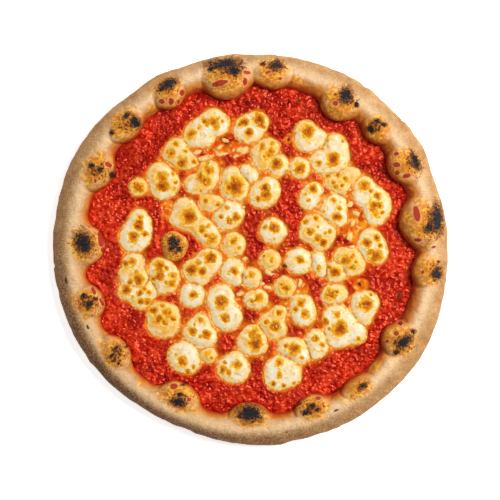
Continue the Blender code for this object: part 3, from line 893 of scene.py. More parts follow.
# %% Mozzarella layout
# Each piece: its rounds, its browned spots (across, down, radius, depth of browning), its warmth.
MOZZARELLA = (
    (((214, 119, 11), (220, 126, 8), (204, 127, 11), (194, 135, 11), (205, 137, 9)),
     ((191, 134, 5.5, 0.8), (205, 121, 4, 0.6), (207, 125, 3, 0.6), (213, 122, 5.5, 0.6),
      (216, 127, 4, 0.6), (218, 118, 3, 0.5), (222, 121, 2.6, 0.6), (199, 127, 3, 0.4)), 0.15),
    (((246, 129, 12), (257, 122, 11), (251, 131, 10)),
     ((244, 122, 5, 0.8), (240, 124, 3, 0.6), (248.5, 132.5, 4.6, 1), (259, 119, 6, 1),
      (262, 124, 5, 0.8), (257, 114, 4, 0.6)), 0.1),
    (((177, 147, 9), (171, 153, 8), (181, 158, 9), (189, 161, 7)),
     ((175, 144, 3.5, 0.5), (171, 153, 5, 0.7), (182, 162, 6, 1), (194, 162, 3.5, 0.6),
      (185, 151, 3, 0.5)), 0.3),
    (((159, 174, 11), (166, 183, 13), (162, 187, 11)),
     ((162, 176, 7, 0.6), (162.5, 186, 6.5, 1), (173, 173, 3, 0.5), (175, 182, 3, 0.5),
      (174, 189, 3, 0.4)), 0.25),
    (((138, 187, 8.5),), ((138, 187, 7, 0.55), (135, 184, 3, 0.7)), 0.9),
    (((209, 168, 9), (210, 177, 8), (203, 184, 9), (194, 184, 9)),
     ((205, 181, 5.5, 0.9), (200, 177, 4, 0.8), (207, 162, 4, 0.5), (208, 170, 6, 0.6),
      (201, 191, 2, 0.4)), 0.3),
    (((235, 187, 14), (232, 175, 8)), ((235, 186, 9.5, 1), (229, 188, 5, 0.8)), 0.25),
    (((245, 170, 5), (251, 175, 7)), ((248, 173, 1.2, 0.4),), 0.1),
    (((261, 152, 9), (270, 147, 9), (263, 161, 9)),
     ((262, 148, 4, 0.5), (268, 155, 6, 0.5), (272, 143, 3, 0.5), (263, 145, 3, 0.5),
      (271, 151, 4, 0.5)), 0.5),
    (((278, 165, 10.5),), ((276.5, 163.5, 6, 1),), 0.1),
    (((265, 193, 13), (259, 199, 8), (270, 187, 9)),
     ((265, 188, 5.5, 1), (265.5, 195, 5.5, 1), (258, 199, 3.4, 0.8)), 0.2),
    (((306, 131, 10), (312, 139, 11), (304, 141, 9), (320, 139, 7)),
     ((308, 131, 6.5, 1), (304, 136, 3, 0.6)), 0.2),
    (((335, 146, 12), (338, 158, 11), (323, 161, 12), (334, 165, 10)),
     ((333, 159, 7, 1), (319, 163, 3.5, 0.6), (327, 140, 2.2, 0.5), (343, 141, 2.2, 0.5),
      (322, 149, 2, 0.5)), 0.15),
    (((334, 180, 9), (345, 176, 8), (341, 186, 8), (354, 174, 6)),
     ((328, 175, 4, 0.7), (333, 171, 3, 0.6), (338, 175, 3, 0.7), (345, 179, 3.4, 0.6),
      (336, 187, 3, 0.6), (342, 186, 2.5, 0.5), (333, 182, 3, 0.6)), 0.45),
    (((300, 168, 10.5),), ((299.5, 169, 6.5, 0.8),), 0.2),
    (((314, 190, 8), (309, 198, 9), (309, 203, 6)),
     ((313, 189, 5, 0.8), (305, 194, 2.2, 0.4), (308, 200, 3, 0.4)), 0.1),
    (((364, 185, 9), (363, 196, 9), (373, 197, 11), (379, 205, 12), (376, 215, 10)),
     ((364.5, 185, 6, 0.8), (371, 191, 3, 0.6), (377, 196, 5, 0.6), (374, 206, 6.5, 0.7),
      (380, 206, 4, 0.7), (377, 216, 4, 0.5), (382, 213, 3, 0.5)), 0.1),
    (((139, 216, 7), (140, 226, 11), (135, 236, 15), (132, 241, 10)),
     ((140, 217, 3.5, 0.6), (138, 226, 5.5, 0.9), (139, 222, 4, 0.8), (133, 237, 5.8, 0.9),
      (145, 234, 3.6, 0.6)), 0.05),
    (((133, 262, 10), (131, 273, 10), (139, 281, 10), (127, 281, 7)),
     ((132, 262, 4.5, 0.7), (125, 264, 4, 0.7), (136, 272, 3, 0.5), (129, 282, 3.8, 0.6),
      (138.5, 280, 5.8, 0.9)), 0.35),
    (((126, 291, 8), (137, 292, 9), (149, 290, 9), (141, 300, 9)),
     ((126, 290, 5.5, 0.8), (139.5, 293, 3.2, 0.7), (144, 289, 2.6, 0.6), (149, 293, 3, 0.6),
      (132, 297, 2, 0.5), (140, 302, 4, 0.8), (147.5, 302, 4, 0.8), (155, 303, 2.6, 0.6)), 0.2),
    (((160, 269, 11), (166, 277, 13), (163, 283, 10)),
     ((159, 266, 6, 0.8), (159, 276, 5, 0.8), (153, 279, 3, 0.6), (166, 268, 3.2, 0.7),
      (173, 276, 4.4, 0.7), (172, 284, 4.6, 0.7), (166, 283, 3, 0.6)), 0.15),
    (((192, 295, 12.5),), ((193, 295, 4.6, 0.7),), 0.05),
    (((210, 260, 12), (193, 271, 10), (203, 267, 11), (200, 275, 9)),
     ((210, 258, 6.5, 1), (191, 270, 5.6, 1), (202, 272, 5, 0.8), (198, 263, 3.6, 0.6)), 0.3),
    (((184, 207, 9), (187, 217, 13), (176, 218, 6), (200, 226, 9), (206, 232, 10), (212, 239, 8)),
     ((189, 217, 8, 1), (202, 230, 5, 0.6), (208, 227, 3, 0.6), (212, 239, 6, 0.7),
      (206, 236, 3, 0.6)), 0.3),
    (((229, 215, 13), (224, 220, 9), (232, 211, 10)),
     ((236, 217, 5, 0.7), (229, 221, 3.6, 0.8), (221, 217, 3, 0.5), (227, 208, 3, 0.4)), 0.15),
    (((206, 202, 6), (213, 203, 7), (219, 204, 5)),
     ((205, 201, 3.4, 0.7), (218, 204, 3.2, 0.7)), 0.5),
    (((234, 243, 10), (234, 247, 9)),
     ((233, 241, 4.4, 0.6), (236, 238, 2, 0.5), (239, 248, 3, 0.5)), 0.4),
    (((273, 231, 13),), ((274, 228, 5.8, 0.8), (265, 227, 2.6, 0.5)), 0.1),
    (((234, 267, 9), (230, 272, 9), (236, 278, 7)),
     ((234, 271, 4.2, 0.6), (228, 274, 3, 0.4)), 0.15),
    (((251, 278, 10),), ((251, 275, 4.4, 0.6), (246, 277, 2.4, 0.4)), 0.25),
    (((270, 260, 10),), ((272, 260, 4, 0.5), (264, 256, 1.6, 1)), 0.6),
    (((299, 261, 13),), ((299, 260, 4.8, 0.7),), 0.1),
    (((285, 287, 10),), ((286, 288, 5.4, 0.6), (282, 284, 3, 0.5)), 0.7),
    (((333, 206, 10), (338, 202, 7), (338, 214, 8), (330, 211, 8), (341, 221, 5)),
     ((334, 200, 3, 0.6), (339, 208.5, 3, 0.7), (337, 217, 5, 1), (324, 211, 1.8, 0.4)), 0.1),
    (((314, 225, 11), (308, 233, 8), (323, 236, 10), (328, 232, 7), (321, 243, 7)),
     ((310, 232, 5, 0.8), (305, 222, 4, 0.5), (316, 218, 3.2, 0.6), (317, 238, 5, 0.7),
      (323, 243, 4.4, 1), (330, 232, 3, 0.6), (318, 227, 2, 0.5), (325, 233, 2.2, 0.5)), 0.35),
    (((370, 238, 9), (372, 246, 13), (378, 254, 9)),
     ((367, 243, 5, 1), (377, 238, 4.4, 0.8), (380, 246, 3, 0.6), (376, 256, 7, 0.8),
      (371, 253, 3.6, 0.6)), 0.15),
    (((318, 258, 6), (319, 266, 6), (323, 272, 5)), ((318.5, 268, 3.4, 0.6),), 0.1),
    (((336, 272, 10.5),), ((336, 272, 5.6, 1), (329, 267, 3, 0.5)), 0.2),
    (((343, 257, 9), (353, 257, 8), (358, 266, 7), (350, 268, 7)),
     ((345, 260, 6, 0.7), (352, 256, 3.2, 0.6), (352, 268, 4.4, 0.7), (356, 262, 2.6, 0.5)), 0.5),
    (((159, 314, 11), (169, 315, 10), (166, 325, 12), (157, 325, 10)),
     ((153, 311, 5, 0.7), (158, 320, 5, 0.8), (166, 313, 5.4, 0.7), (173, 319, 3.6, 0.6),
      (164, 322, 4, 0.7), (162, 306, 3, 0.6)), 0.5),
    (((200, 322, 8), (194, 333, 11), (206, 336, 10), (203, 341, 8)),
     ((200, 320, 3.2, 0.6), (192, 332, 4.8, 0.8), (206, 335, 5, 0.8), (200, 337, 2.6, 0.5),
      (194, 325, 2, 0.5)), 0.15),
    (((185, 353, 12), (182, 361, 11), (190, 364, 9), (178, 354, 8)),
     ((182, 362, 5.6, 0.8), (176, 355, 2.2, 0.5), (193, 367, 2.4, 0.6), (188, 372, 3, 0.7)), 0.05),
    (((220, 301, 13), (222, 295, 10), (225, 317, 13), (230, 318, 11)),
     ((221, 302, 7, 1), (225, 318.5, 5.2, 0.8)), 0.1),
    (((236, 360, 8), (229, 369, 12), (238, 371, 11)),
     ((237, 365, 5.2, 0.7), (223, 370, 4, 0.7), (228, 373, 3.6, 0.6), (225, 363, 2.4, 0.5)), 0.1),
    (((280, 371, 15), (289, 374, 12), (278, 378, 12)),
     ((279.5, 363, 4.4, 0.7), (279, 375, 3.2, 0.7), (273.5, 384, 3.2, 0.7), (284, 386, 2.6, 0.6),
      (294, 384, 2, 0.5)), 0.0),
    (((254, 335, 10), (249, 343, 11), (257, 345, 10)),
     ((254, 334, 7.5, 0.6), (255, 344, 7, 1)), 0.25),
    (((272, 320, 8), (268, 324, 8), (275, 328, 11), (280, 312, 6)),
     ((279, 313, 4.2, 0.7), (275, 327, 6.2, 1), (266, 322, 3.6, 0.5)), 0.45),
    (((303, 307, 10), (304, 315, 11), (301, 304, 9)),
     ((301, 303, 5, 0.8), (305, 314, 5, 0.8), (296, 309, 3, 0.5)), 0.1),
    (((259, 299, 9), (251, 300, 7)), ((258, 298, 5.6, 0.7), (252, 301, 3, 0.5)), 0.3),
    (((296, 350, 11), (302, 356, 8), (286, 347, 8)),
     ((294, 349, 6.6, 0.8), (286, 346, 3.6, 0.6), (302, 358, 2.6, 0.5)), 0.2),
    (((316, 340, 10), (320, 348, 8), (315, 354, 5)),
     ((315, 339, 4.2, 0.7), (323, 345, 2.6, 0.6)), 0.1),
    (((336, 316, 12), (341, 330, 15), (355, 333, 11), (335, 338, 9), (347, 322, 9)),
     ((340, 329, 7.6, 1), (337, 315, 3.6, 0.6), (325, 322, 4, 0.7), (329, 329, 2.2, 0.5),
      (358, 339, 2.6, 0.5)), 0.05),
    (((361, 303, 10), (368, 303, 11), (363, 314, 8), (366, 319, 5)),
     ((367, 304, 7.6, 0.8), (361, 306, 4, 0.7), (371, 295, 2.4, 0.6)), 0.15),
    (((332, 295, 10), (340, 293, 7)), ((331, 295, 6.4, 0.7), (337, 292, 2.6, 0.5)), 0.3),
    (((208, 355, 8),), ((207, 354, 4, 0.4), (211, 358, 2.4, 0.4)), 0.95),
)
BUBBLE = (174, 246, 14.0)
CHEESE_MELT = 2.5
TINY = 1e-12


def melt_distance(across, down, rounds):
    """How far points are outside a melted piece, in cells; negative inside it."""
    total = np.zeros(np.shape(across))
    for round_across, round_down, size in rounds:
        gap = np.hypot(across - round_across, down - round_down) - size
        total = total + np.exp(-gap / CHEESE_MELT)
    return -CHEESE_MELT * np.log(total + TINY)


print("mozzarella pieces:", len(MOZZARELLA))

# %% [markdown]
# ## Tomato sauce
# Crushed tomato is a wet bed of pulp: rounded grains 2 to 4 mm across that glint on their tops.
# Lists of ovals say where oil floats on it and where it lies smooth. Oil also seeps out close to
# the cheese and fills the narrow gaps between two pieces, as a web of melted fat.

# %% Where the oil floats
# Each patch: across, down, half length, half width, turn in degrees.
OILY = (
    (214, 150, 18, 13, 15), (240, 150, 15, 9, 0), (167, 210, 10, 10, 0), (355, 226, 11, 20, 0),
    (238, 306, 7, 14, 0), (265, 287, 10, 6, 0), (302, 287, 8, 12, 0), (247, 260, 5, 6, 0),
    (157, 303, 9, 4, 0), (360, 284, 8, 7, 0), (289, 139, 6, 5, 0), (353, 268, 12, 12, 0),
    (320, 205, 8, 14, 0), (286, 310, 8, 10, 0), (197, 150, 12, 8, 20),
)
SMOOTH = (
    (101, 240, 4, 10, 0), (104, 290, 5, 8, 20), (405, 275, 5, 12, 0), (330, 378, 12, 6, 30),
    (117, 315, 6, 4, 0),
)
OIL_GAP, OIL_BORDER = 17, 5.5


def oil_on(points):
    """How oily and smooth the sauce is, the cells to the nearest cheese, and the web of fat."""
    across, down = grid_place(points)
    near = np.sort([melt_distance(across, down, rounds) for rounds, _, _ in MOZZARELLA], axis=0)
    between = np.clip(1.05 - (near[0] + near[1]) / OIL_GAP, 0, 1)
    beside = np.clip(1 - near[0] / OIL_BORDER, 0, 1)
    wander = 0.5 * lumps(points * (1, 1, 0), 0.006, 40)
    patches = ease(marks(across, down, OILY) + wander, -0.5, 0.6)
    oil = np.maximum(np.maximum(between, 0.8 * beside), patches)
    web = ease(near[0] + near[1], 8, 2)
    return oil, marks(across, down, SMOOTH), near[0], web


print("oily patches:", len(OILY))

# %% [markdown]
# The relief of the grains is real, in two sizes on broad heaps, and finer grain follows in the
# bump. It is calmer under oil. The sauce lies lower under the cheese, and it runs just into the
# rim's wall, so that no gap shows.

# %% Shape the sauce
SAUCE_TOP = 0.0063
SAUCE_FOOT = 0.0043
SAUCE_CELLS = 300
BIG_GRAIN, SMALL_GRAIN = 0.0036, 0.0021
BIG_PULP, SMALL_PULP, PULP_HEAPS = 0.0014, 0.0009, 0.0005
PULP_BENDS, PULP_DRIFT = 0.0045, 0.0018
SAUCE_TUCK = 0.0003
FILM_RISE, WEB_RISE = 0.0007, 0.0006
SAUCE_SLOPE = 0.0004
EDGE_DIP = 0.0004
UNDER_CHEESE = 0.0006


def pulp_at(points):
    """Height of the pulp's grains at points seen from above, round zero."""
    level = points * (1, 1, 0)
    right, up = lumps(level, PULP_BENDS, 8), lumps(level, PULP_BENDS, 9)
    drift = PULP_DRIFT * np.column_stack((right, up, level[:, 2]))
    big = grains(level + drift, BIG_GRAIN, 3) - 0.8
    small = grains(level - drift, SMALL_GRAIN, 9) - 0.8
    return BIG_PULP * big + SMALL_PULP * small + PULP_HEAPS * lumps(level, 0.008, 10)


sauce, share, angle = round_sheet("crushed_tomato", SAUCE_CELLS)
sauce_radius = share * (ring_value(TOE, angle) + SAUCE_TUCK)
flat = around(sauce_radius, angle, np.zeros_like(angle))
oil, smooth, near, web = oil_on(flat)
bare = ease(near, -1.0, 1.8)
calm = 1 - 0.85 * np.maximum(ease(oil, 0.3, 0.85), ease(smooth, 0, 0.4))
film = FILM_RISE * np.exp(-np.maximum(near, 0) / 3) + WEB_RISE * web
slope = SAUCE_SLOPE * lumps(flat, 0.03, 11)
edge_dip = EDGE_DIP * ease(share, 0.985, 1.0)
relief = pulp_at(flat) * calm + slope + film - edge_dip
flat[:, 2] = SAUCE_TOP + bare * relief - UNDER_CHEESE * (1 - bare)
set_points(sauce, flat)
close_underneath(sauce, SAUCE_FOOT)
placed = points_of(sauce)
oil, smooth, near, web = oil_on(placed)
# Painted light and shade: the tops of the pulp's grains are stored so that they can be painted
# lighter and the hollows darker.
crest = ease(pulp_at(placed), -0.0010, 0.0006)
paint(sauce, oil=oil, smooth=smooth, near=near, web=web, crest=crest)
print("sauce points:", len(oil), "oily share:", round(float((oil > 0.5).mean()), 2))

# %% [markdown]
# Tomato is a deep, clean red that turns orange where fat from the cheese floats on it, with pale
# curds in the fat, and yellow in the web between two pieces. It is wet, so it glints: low
# roughness over a sharp bump.

# %% The sauce's finish
tomato = new_finish("crushed tomato")
mottled = times(tomato, grain(tomato, 0.0034), 0.7)
# Painted light and shade: grain tops lighter red, hollows deeper red.
painted_grain_light = times(tomato, mark(tomato, "crest"), 0.3)
red = ramp(
    tomato,
    maths(tomato, "ADD", mottled, painted_grain_light),
    (0.33, (0.10, 0.001, 0.0003)),
    (0.47, (0.26, 0.003, 0.001)),
    (0.60, (0.46, 0.010, 0.002)),
    (0.72, (0.70, 0.064, 0.016)),
)
orange = ramp(
    tomato,
    grain(tomato, 0.0060),
    (0.34, (0.56, 0.050, 0.002)),
    (0.50, (0.70, 0.15, 0.004)),
    (0.64, (0.78, 0.31, 0.012)),
)
darker = step_between(tomato, grain(tomato, 0.022), 0.42, 0.62)
oily = ragged(tomato, mark(tomato, "oil"), 0.008, 1.1)
curds = step_between(tomato, grain(tomato, 0.0030), 0.55, 0.64)
nearby = ragged(tomato, mark(tomato, "near"), 0.005, 4.0)
web = step_between(tomato, ragged(tomato, mark(tomato, "web"), 0.0045, 0.9), 0.25, 0.8)
thin = step_between(tomato, grain(tomato, 0.003, 2, 0.5), 0.42, 0.62)
web_tone = blend(tomato, thin, (0.74, 0.24, 0.008), (0.82, 0.48, 0.09))
colour = cover(
    tomato,
    red,
    (darker, 0.55, (0.20, 0.002, 0.001)),
    (step_between(tomato, mark(tomato, "smooth"), 0.0, 0.5), 1, (0.56, 0.032, 0.012)),
    (step_between(tomato, oily, 0.20, 0.95), 1, orange),
    (times(tomato, curds, step_between(tomato, oily, 0.55, 1.0)), 0.75, (0.84, 0.58, 0.22)),
    (opposite(tomato, step_between(tomato, nearby, 0.4, 2.6)), 0.8, (0.74, 0.25, 0.015)),
    (web, 0.9, web_tone),
)
shader = shader_of(tomato)
wire(tomato, colour, shader.inputs["Base Color"])
shader.inputs["Roughness"].default_value = 0.10
shader.inputs["Specular IOR Level"].default_value = 0.85
shader.inputs["Specular Tint"].default_value = (1, 0.21, 0.13, 1)
film_over = times(tomato, step_between(tomato, mark(tomato, "oil"), 0.2, 0.8), 0.8)
pulpy = times(tomato, grain(tomato, 0.0032, 1.5, 0.45), opposite(tomato, film_over))
wire(tomato, bump(tomato, pulpy, 0.0024), shader.inputs["Normal"])
sauce.data.materials.append(tomato)
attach(sauce, "root")
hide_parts("tomato_sauce")
print("tomato nodes:", len(tomato.node_tree.nodes))

# %% [markdown]
# ## Melted mozzarella
# A melted piece is a low puddle with a rounded edge and a gently lumpy top. Where its top
# blistered it sank into small browned craters with a low lip. The edge is found by walking out
# from the piece's middle until its rounds end, or a neighbour, the rim or the charred bubble is
# nearer.

# %% Find the edges
CHEESE_HEIGHT = 0.0014
MELT_LEVEL = 0.0005
CHEESE_SPREAD = 0.8
CHEESE_MARGIN = 0.35
CHEESE_RIM_MARGIN = 2.5
CHEESE_FOOT = 0.0058
NEIGHBOUR_RANGE = 70
MARCH = np.arange(0.15, 45, 0.15)
COMPASS = np.radians(np.arange(0, 360, 2))


def middle_of(rounds):
    weights = np.array([size**2 for _, _, size in rounds])
    places = np.array([(across, down) for across, down, _ in rounds], float)
    return (places * weights[:, None]).sum(axis=0) / weights.sum()


def edge_reach(index):
    """How far the piece's edge is from its middle, in cells, at each angle of the compass."""
    rounds = MOZZARELLA[index][0]
    middle = middle_of(rounds)
    across = middle[0] + np.cos(COMPASS)[:, None] * MARCH
    down = middle[1] - np.sin(COMPASS)[:, None] * MARCH
    own = melt_distance(across, down, rounds)
    past = own > CHEESE_SPREAD
    others = [other for number, (other, _, _) in enumerate(MOZZARELLA) if number != index]
    for other in [*others, (BUBBLE,)]:
        if np.hypot(*(middle_of(other) - middle)) < NEIGHBOUR_RANGE:
            past |= own > melt_distance(across, down, other) - CHEESE_MARGIN
    x, y = plan(across, down)
    past |= np.hypot(x, y) > ring_value(TOE, np.arctan2(y, x)) - CHEESE_RIM_MARGIN * CELL
    return smoothed(np.where(past.any(axis=1), MARCH[past.argmax(axis=1)], MARCH[-1]), 0.8)


print("reach of the first piece:", round(edge_reach(0).mean() * CELL * 1000, 1), "mm")

# %% [markdown]
# Each piece is a round sheet stretched to its edge. Its surface rises over the rounded edge, and
# each browned spot sinks into it. The same spots are stored as marks for the browning.

# %% Shape each piece
CHEESE_GRAIN = 0.00038
CHEESE_WRINKLES = 0.00012
EDGE_CROWDING = 0.88
ROUND_EDGE = 7.0
CRATER = 0.0006
CRATER_LIP = 0.00025
FULL_SPOT = 5

# In radii of a browned spot.
CRATER_FLOOR, CRATER_END = 0.3, 1.1
LIP_PLACE, LIP_WIDTH = 1.15, 0.28


def edge_lumps(angle, number, *layers):
    """How uneven that piece's edge is at each angle. Each layer of lumps: lift, size, seed."""
    compass = around(1.0, angle, np.full(len(angle), float(number)))
    return sum(lift * lumps(compass, size, seed) for lift, size, seed in layers)


def melt_piece(index):
    """Models one piece of mozzarella."""
    rounds, spots, warmth = MOZZARELLA[index]
    middle = middle_of(rounds)
    reach_table = edge_reach(index)
    cells = int(round(2 * reach_table.mean() * CELL / CHEESE_GRAIN))
    piece, share, angle = round_sheet(f"mozzarella_{index + 1:02d}", cells)
    share = share**EDGE_CROWDING
    reach = np.interp(np.mod(angle, 2 * math.pi), COMPASS, reach_table, period=2 * math.pi)
    reach = reach * (1.01 + edge_lumps(angle, index, (0.10, 0.45, 30), (0.035, 0.2, 31)))
    flat = around(share * reach * CELL, angle, np.zeros(len(angle))) + (*plan(*middle), 0)
    across, down = grid_place(flat)
    inset = np.clip((1 - share) * reach / ROUND_EDGE, 0, 1)
    pillow = 0.55 * ease(inset, 0, 1) + 0.45 * (1 - share**2)
    surface = CHEESE_HEIGHT * pillow * (1 + 0.10 * lumps(flat, 0.0075, 20))
    surface += CHEESE_WRINKLES * lumps(flat, 0.0028, 90) * inset
    for spot_across, spot_down, size, depth in spots:
        distance = np.hypot(across - spot_across, down - spot_down) / size
        sunk = 1 - ease(distance, CRATER_FLOOR, CRATER_END)
        surface -= CRATER * depth * sunk * min(size / FULL_SPOT, 1)
        surface += CRATER_LIP * np.exp(-(((distance - LIP_PLACE) / LIP_WIDTH) ** 2)) * pillow
    flat[:, 2] = SAUCE_TOP + MELT_LEVEL + np.maximum(surface, 0)
    set_points(piece, flat)
    close_underneath(piece, CHEESE_FOOT)
    return piece, spots, warmth, middle, reach_table


print("a piece is", CHEESE_HEIGHT * 1000, "mm high over its edge")

# %% Brown each piece
BROWN_END, BROWN_WIDTH = 1.36, 1.24


def brown_piece(piece, spots, warmth, middle, reach_table):
    """Stores where a piece is browned, the cells to its edge, and how warm its colour is."""
    across, down = grid_place(points_of(piece))
    brown = np.zeros(len(across))
    for spot_across, spot_down, size, depth in spots:
        distance = np.hypot(across - spot_across, down - spot_down) / size
        tone = np.clip(BROWN_END - distance, 0, 1.3) / BROWN_WIDTH
        brown = np.maximum(brown, depth**0.7 * tone)
    right, up = across - middle[0], middle[1] - down
    angle = np.mod(np.arctan2(up, right), 2 * math.pi)
    reach = np.interp(angle, COMPASS, reach_table, period=2 * math.pi)
    paint(piece, brown=brown, rim=reach - np.hypot(right, up), warmth=np.full(len(across), warmth))


print("browned spots:", sum(len(spots) for _, spots, _ in MOZZARELLA))

# %% [markdown]
# Melted mozzarella is cream white where it is thick. Fat clears it to yellow at the edge and in
# thin pieces, and the craters run from olive gold through brown to a dark, wet middle.

# %% The cheese's finish
cheese = new_finish("melted mozzarella")
cream = ramp(
    cheese,
    grain(cheese, 0.0055),
    (0.34, (0.75, 0.56, 0.29)),
    (0.46, (0.755, 0.665, 0.50)),
    (0.60, (0.755, 0.725, 0.61)),
)
browned = ragged(cheese, ragged(cheese, mark(cheese, "brown"), 0.0034, 1.1), 0.0014, 0.55)
gold = ramp(
    cheese,
    browned,
    (0.10, (0.84, 0.68, 0.30)),
    (0.24, (0.76, 0.46, 0.040)),
    (0.44, (0.68, 0.28, 0.005)),
    (0.66, (0.54, 0.140, 0.003)),
    (0.95, (0.28, 0.046, 0.003)),
)
warm = ragged(cheese, mark(cheese, "warmth"), 0.007, 1.5)
inwards = ragged(cheese, mark(cheese, "rim"), 0.0036, 8.0)
olive = step_between(cheese, grain(cheese, 0.0030, 1, 0.4), 0.66, 0.72)
colour = cover(
    cheese,
    cream,
    (step_between(cheese, warm, 0.05, 0.62), 1, (0.76, 0.40, 0.055)),
    (opposite(cheese, step_between(cheese, inwards, 1.2, 4.8)), 1, (0.78, 0.58, 0.25)),
    (opposite(cheese, step_between(cheese, inwards, 0.0, 2.0)), 1, (0.66, 0.22, 0.030)),
    (step_between(cheese, browned, 0.02, 0.20), 1, gold),
    (olive, 0.7, (0.66, 0.42, 0.06)),
)
shader = shader_of(cheese)
wire(cheese, colour, shader.inputs["Base Color"])
wet = step_between(cheese, browned, 0.35, 0.75)
wire(cheese, maths(cheese, "SUBTRACT", 0.36, times(cheese, wet, 0.22)), shader.inputs["Roughness"])
shader.inputs["Specular IOR Level"].default_value = 0.28
shader.inputs["Specular Tint"].default_value = (1, 0.66, 0.30, 1)
shader.inputs["Subsurface Weight"].default_value = 0.30
shader.inputs["Subsurface Radius"].default_value = (1.0, 0.6, 0.3)
shader.inputs["Subsurface Scale"].default_value = 0.0012
pitted = times(cheese, grain(cheese, 0.0014, 2, 0.6), maths(cheese, "ADD", 0.3, wet))
relief = bump(cheese, grain(cheese, 0.0040, 2, 0.5), 0.0003, bump(cheese, pitted, 0.0007))
wire(cheese, relief, shader.inputs["Normal"])
print("cheese nodes:", len(cheese.node_tree.nodes))

# %% Lay the pieces on
for index in range(len(MOZZARELLA)):
    piece, spots, warmth, middle, reach_table = melt_piece(index)
    brown_piece(piece, spots, warmth, middle, reach_table)
    piece.data.materials.append(cheese)
    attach(piece, "root")
    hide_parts(f"cheese_{index + 1:02d}")
print("mozzarella nodes dressed:", len(MOZZARELLA))

# %% [markdown]
# ## Crumbs of cheese
# Where the film of fat is thickest, bits of cheese have melted flat on their own. Each is a small
# uneven sheet, like the pieces but hardly raised, with the same finish.

# %% Melt the crumbs
# Each crumb: across, down, half length, half width, turn in degrees.
CRUMBS = (
    (197, 152, 5, 2.4, 30), (205, 158, 8, 2.6, 14), (222, 154, 6, 2, 10), (225, 140, 4, 2.2, -20),
    (219, 147, 4, 1.8, 30), (242, 150, 6.5, 3.4, 0), (236, 156, 4, 1.6, 20), (253, 139, 3, 1.5, 0),
    (350, 204, 4.5, 2.6, 20), (356, 213, 4, 3, -30), (353, 223, 4, 2, 60), (350, 236, 4.5, 3, 80),
    (347, 190, 5, 1.6, 8), (358, 193, 3, 1.4, 30), (352, 247, 3, 2.2, 0), (357, 253, 2.4, 1.6, 30),
    (240, 294, 4, 2.4, 20), (236, 306, 2.6, 4, 0), (267, 288, 4, 2.2, 0), (245, 259, 3, 2, 0),
    (269, 273, 5, 2.4, -30), (262, 284, 3, 1.8, 20), (300, 284, 3.6, 2, 70), (325, 200, 3, 1.8, 40),
    (289, 309, 3, 1.8, 0), (177, 208, 3.2, 2, -20), (243, 207, 2.6, 1.6, 30),
    (292, 297, 2.6, 1.6, -30),
)
CRUMB_CELLS = 18
CRUMB_LEVEL = 0.0006
CRUMB_HEIGHT = 0.0006
CRUMB_WARMTH = 0.5
CRUMB_RIM = 0.6


def melt_crumb(number, across, down, half_long, half_wide, turn):
    """Models one crumb and stores its marks: warm in colour, and nowhere browned."""
    piece, share, angle = round_sheet(f"cheese_crumb_{number:02d}", CRUMB_CELLS)
    uneven = 1 + edge_lumps(angle, number, (0.28, 0.6, 50), (0.12, 0.3, 51))
    along = half_long * CELL * share * uneven * np.cos(angle)
    wide = half_wide * CELL * share * uneven * np.sin(angle)
    x, y = plan(across, down)
    cosine, sine = math.cos(math.radians(turn)), math.sin(math.radians(turn))
    right, up = along * cosine - wide * sine, along * sine + wide * cosine
    level = SAUCE_TOP + CRUMB_LEVEL + CRUMB_HEIGHT * (1 - share**2)
    set_points(piece, np.column_stack((x + right, y + up, level)))
    edge = (1 - share) * half_wide + CRUMB_RIM
    close_underneath(piece, CHEESE_FOOT)
    count = len(piece.data.vertices)
    paint(
        piece,
        brown=np.zeros(count),
        rim=np.append(edge, np.zeros(count - len(edge))),
        warmth=np.full(count, CRUMB_WARMTH),
    )
    return piece


for number, crumb in enumerate(CRUMBS, 1):
    piece = melt_crumb(number, *crumb)
    piece.data.materials.append(cheese)
    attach(piece, "root")
    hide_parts("tomato_sauce")
print("crumbs:", len(CRUMBS))

# %% [markdown]
# ## Flecks of herb
# Dried herb lies on the sauce as dark flecks. They are too small for the outline of a leaf to
# show, so one is modelled from a flattened ball, and the others are copies turned and sized as
# listed.

# %% Dried herb
herb = new_finish("dried herb")
leaf = ramp(
    herb,
    grain(herb, 0.0012),
    (0.35, (0.030, 0.010, 0.002)),
    (0.62, (0.13, 0.055, 0.010)),
)
wire(herb, leaf, shader_of(herb).inputs["Base Color"])
shader_of(herb).inputs["Roughness"].default_value = 0.7
shader_of(herb).inputs["Specular IOR Level"].default_value = 0.15

# Each fleck: across, down, half size in cells, turn in degrees.
HERB_FLECKS = (
    (300, 100, 2.3, 20), (289, 139, 1.9, 70), (302, 210, 1.5, 10), (360, 284, 2.2, 120),
    (400, 296, 2.8, 40), (285, 266, 2.6, 0), (248, 173, 1.4, 30), (183, 176, 1.2, 60),
)
FLECK_LEVEL = 0.0004

deselect_all()
bpy.ops.mesh.primitive_ico_sphere_add(subdivisions=3, radius=1)
pattern = bpy.context.active_object
pattern.name = "fleck_pattern"
ball = points_of(pattern)
ball *= (1 + 0.3 * lumps(ball, 0.9, 70))[:, None] * (1, 0.7, 0.3)
set_points(pattern, ball)
for number, (across, down, size, turn) in enumerate(HERB_FLECKS, 1):
    deselect_all()
    pattern.select_set(True)
    bpy.context.view_layer.objects.active = pattern
    bpy.ops.object.duplicate()
    fleck = bpy.context.active_object
    fleck.name = f"herb_fleck_{number:02d}"
    x, y = plan(across, down)
    fleck.location = (x, y, SAUCE_TOP + FLECK_LEVEL)
    fleck.rotation_euler = (0, 0, math.radians(turn))
    fleck.scale = (size * CELL,) * 3
    bpy.ops.object.transform_apply(location=True, rotation=True, scale=True)
    fleck.data.shade_smooth()
    fleck.data.materials.append(herb)
    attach(fleck, "root")
    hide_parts("tomato_sauce")
deselect_all()
pattern.select_set(True)
bpy.ops.object.delete()
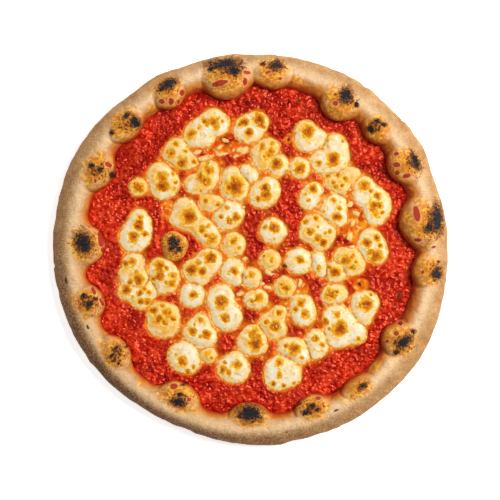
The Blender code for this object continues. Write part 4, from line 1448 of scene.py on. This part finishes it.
print("herb flecks:", len(HERB_FLECKS))

# %% [markdown]
# ## A bubble in the middle
# One bubble of the dough broke through the sauce and charred. It is the same dough as the rim, as
# a round sheet raised into a dome, with its own ovals of char.

# %% The charred bubble
BUBBLE_TOP = 0.0112
BUBBLE_FOOT = FLOOR_TOP + 0.0015
BUBBLE_UNDER = FLOOR_TOP + 0.0002
BUBBLE_CELLS = 56
BUBBLE_STRETCH = 1.12
BUBBLE_OVAL = (174, 246, 14, 15.7, 0)
BUBBLE_CHARS = ((174, 242, 6.4, 6, 0), (179, 249, 3.6, 2.8, -30), (171, 249, 3, 3, 0))

bubble, share, angle = round_sheet("charred_bubble", BUBBLE_CELLS)
x, y = plan(BUBBLE[0], BUBBLE[1])
reach = BUBBLE[2] * CELL * (1 + 0.05 * np.sin(3 * angle + 1) + 0.03 * np.sin(5 * angle))
right, up = share * reach * np.cos(angle), BUBBLE_STRETCH * share * reach * np.sin(angle)
dome = np.column_stack((x + right, y + up, share * 0))
swell = np.sqrt(np.maximum(1 - share**2, 0)) * (1 + 0.12 * lumps(dome, 0.005, 60))
swell += 0.05 * lumps(dome, 0.0018, 61)
dome[:, 2] = BUBBLE_FOOT + (BUBBLE_TOP - BUBBLE_FOOT) * np.clip(swell, 0, 1.02)
set_points(bubble, dome)
close_underneath(bubble, BUBBLE_UNDER)
across, down = grid_place(points_of(bubble))
on_bubble = marks(across, down, (BUBBLE_OVAL,))
char = marks(across, down, BUBBLE_CHARS)
nowhere, everywhere = np.zeros(len(across)), np.ones(len(across))
paint(
    bubble,
    char=np.where(char < 0, 2.2 * char, char),
    freckles=0.7 * on_bubble - 0.05,
    toast=on_bubble + 0.35,
    splash=-everywhere,
    slit=-everywhere,
    # On the bubble this mark is only the sauce's stain at its foot.
    stain=1 - ease(points_of(bubble)[:, 2], 0.0055, 0.0095),
    puff=everywhere,
    flank=nowhere,
    band=nowhere,
    under=nowhere,
)
bubble.data.materials.append(dough)
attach(bubble, "root")
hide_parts("crust")
print("bubble top:", round(points_of(bubble)[:, 2].max() * 1000, 1), "mm")
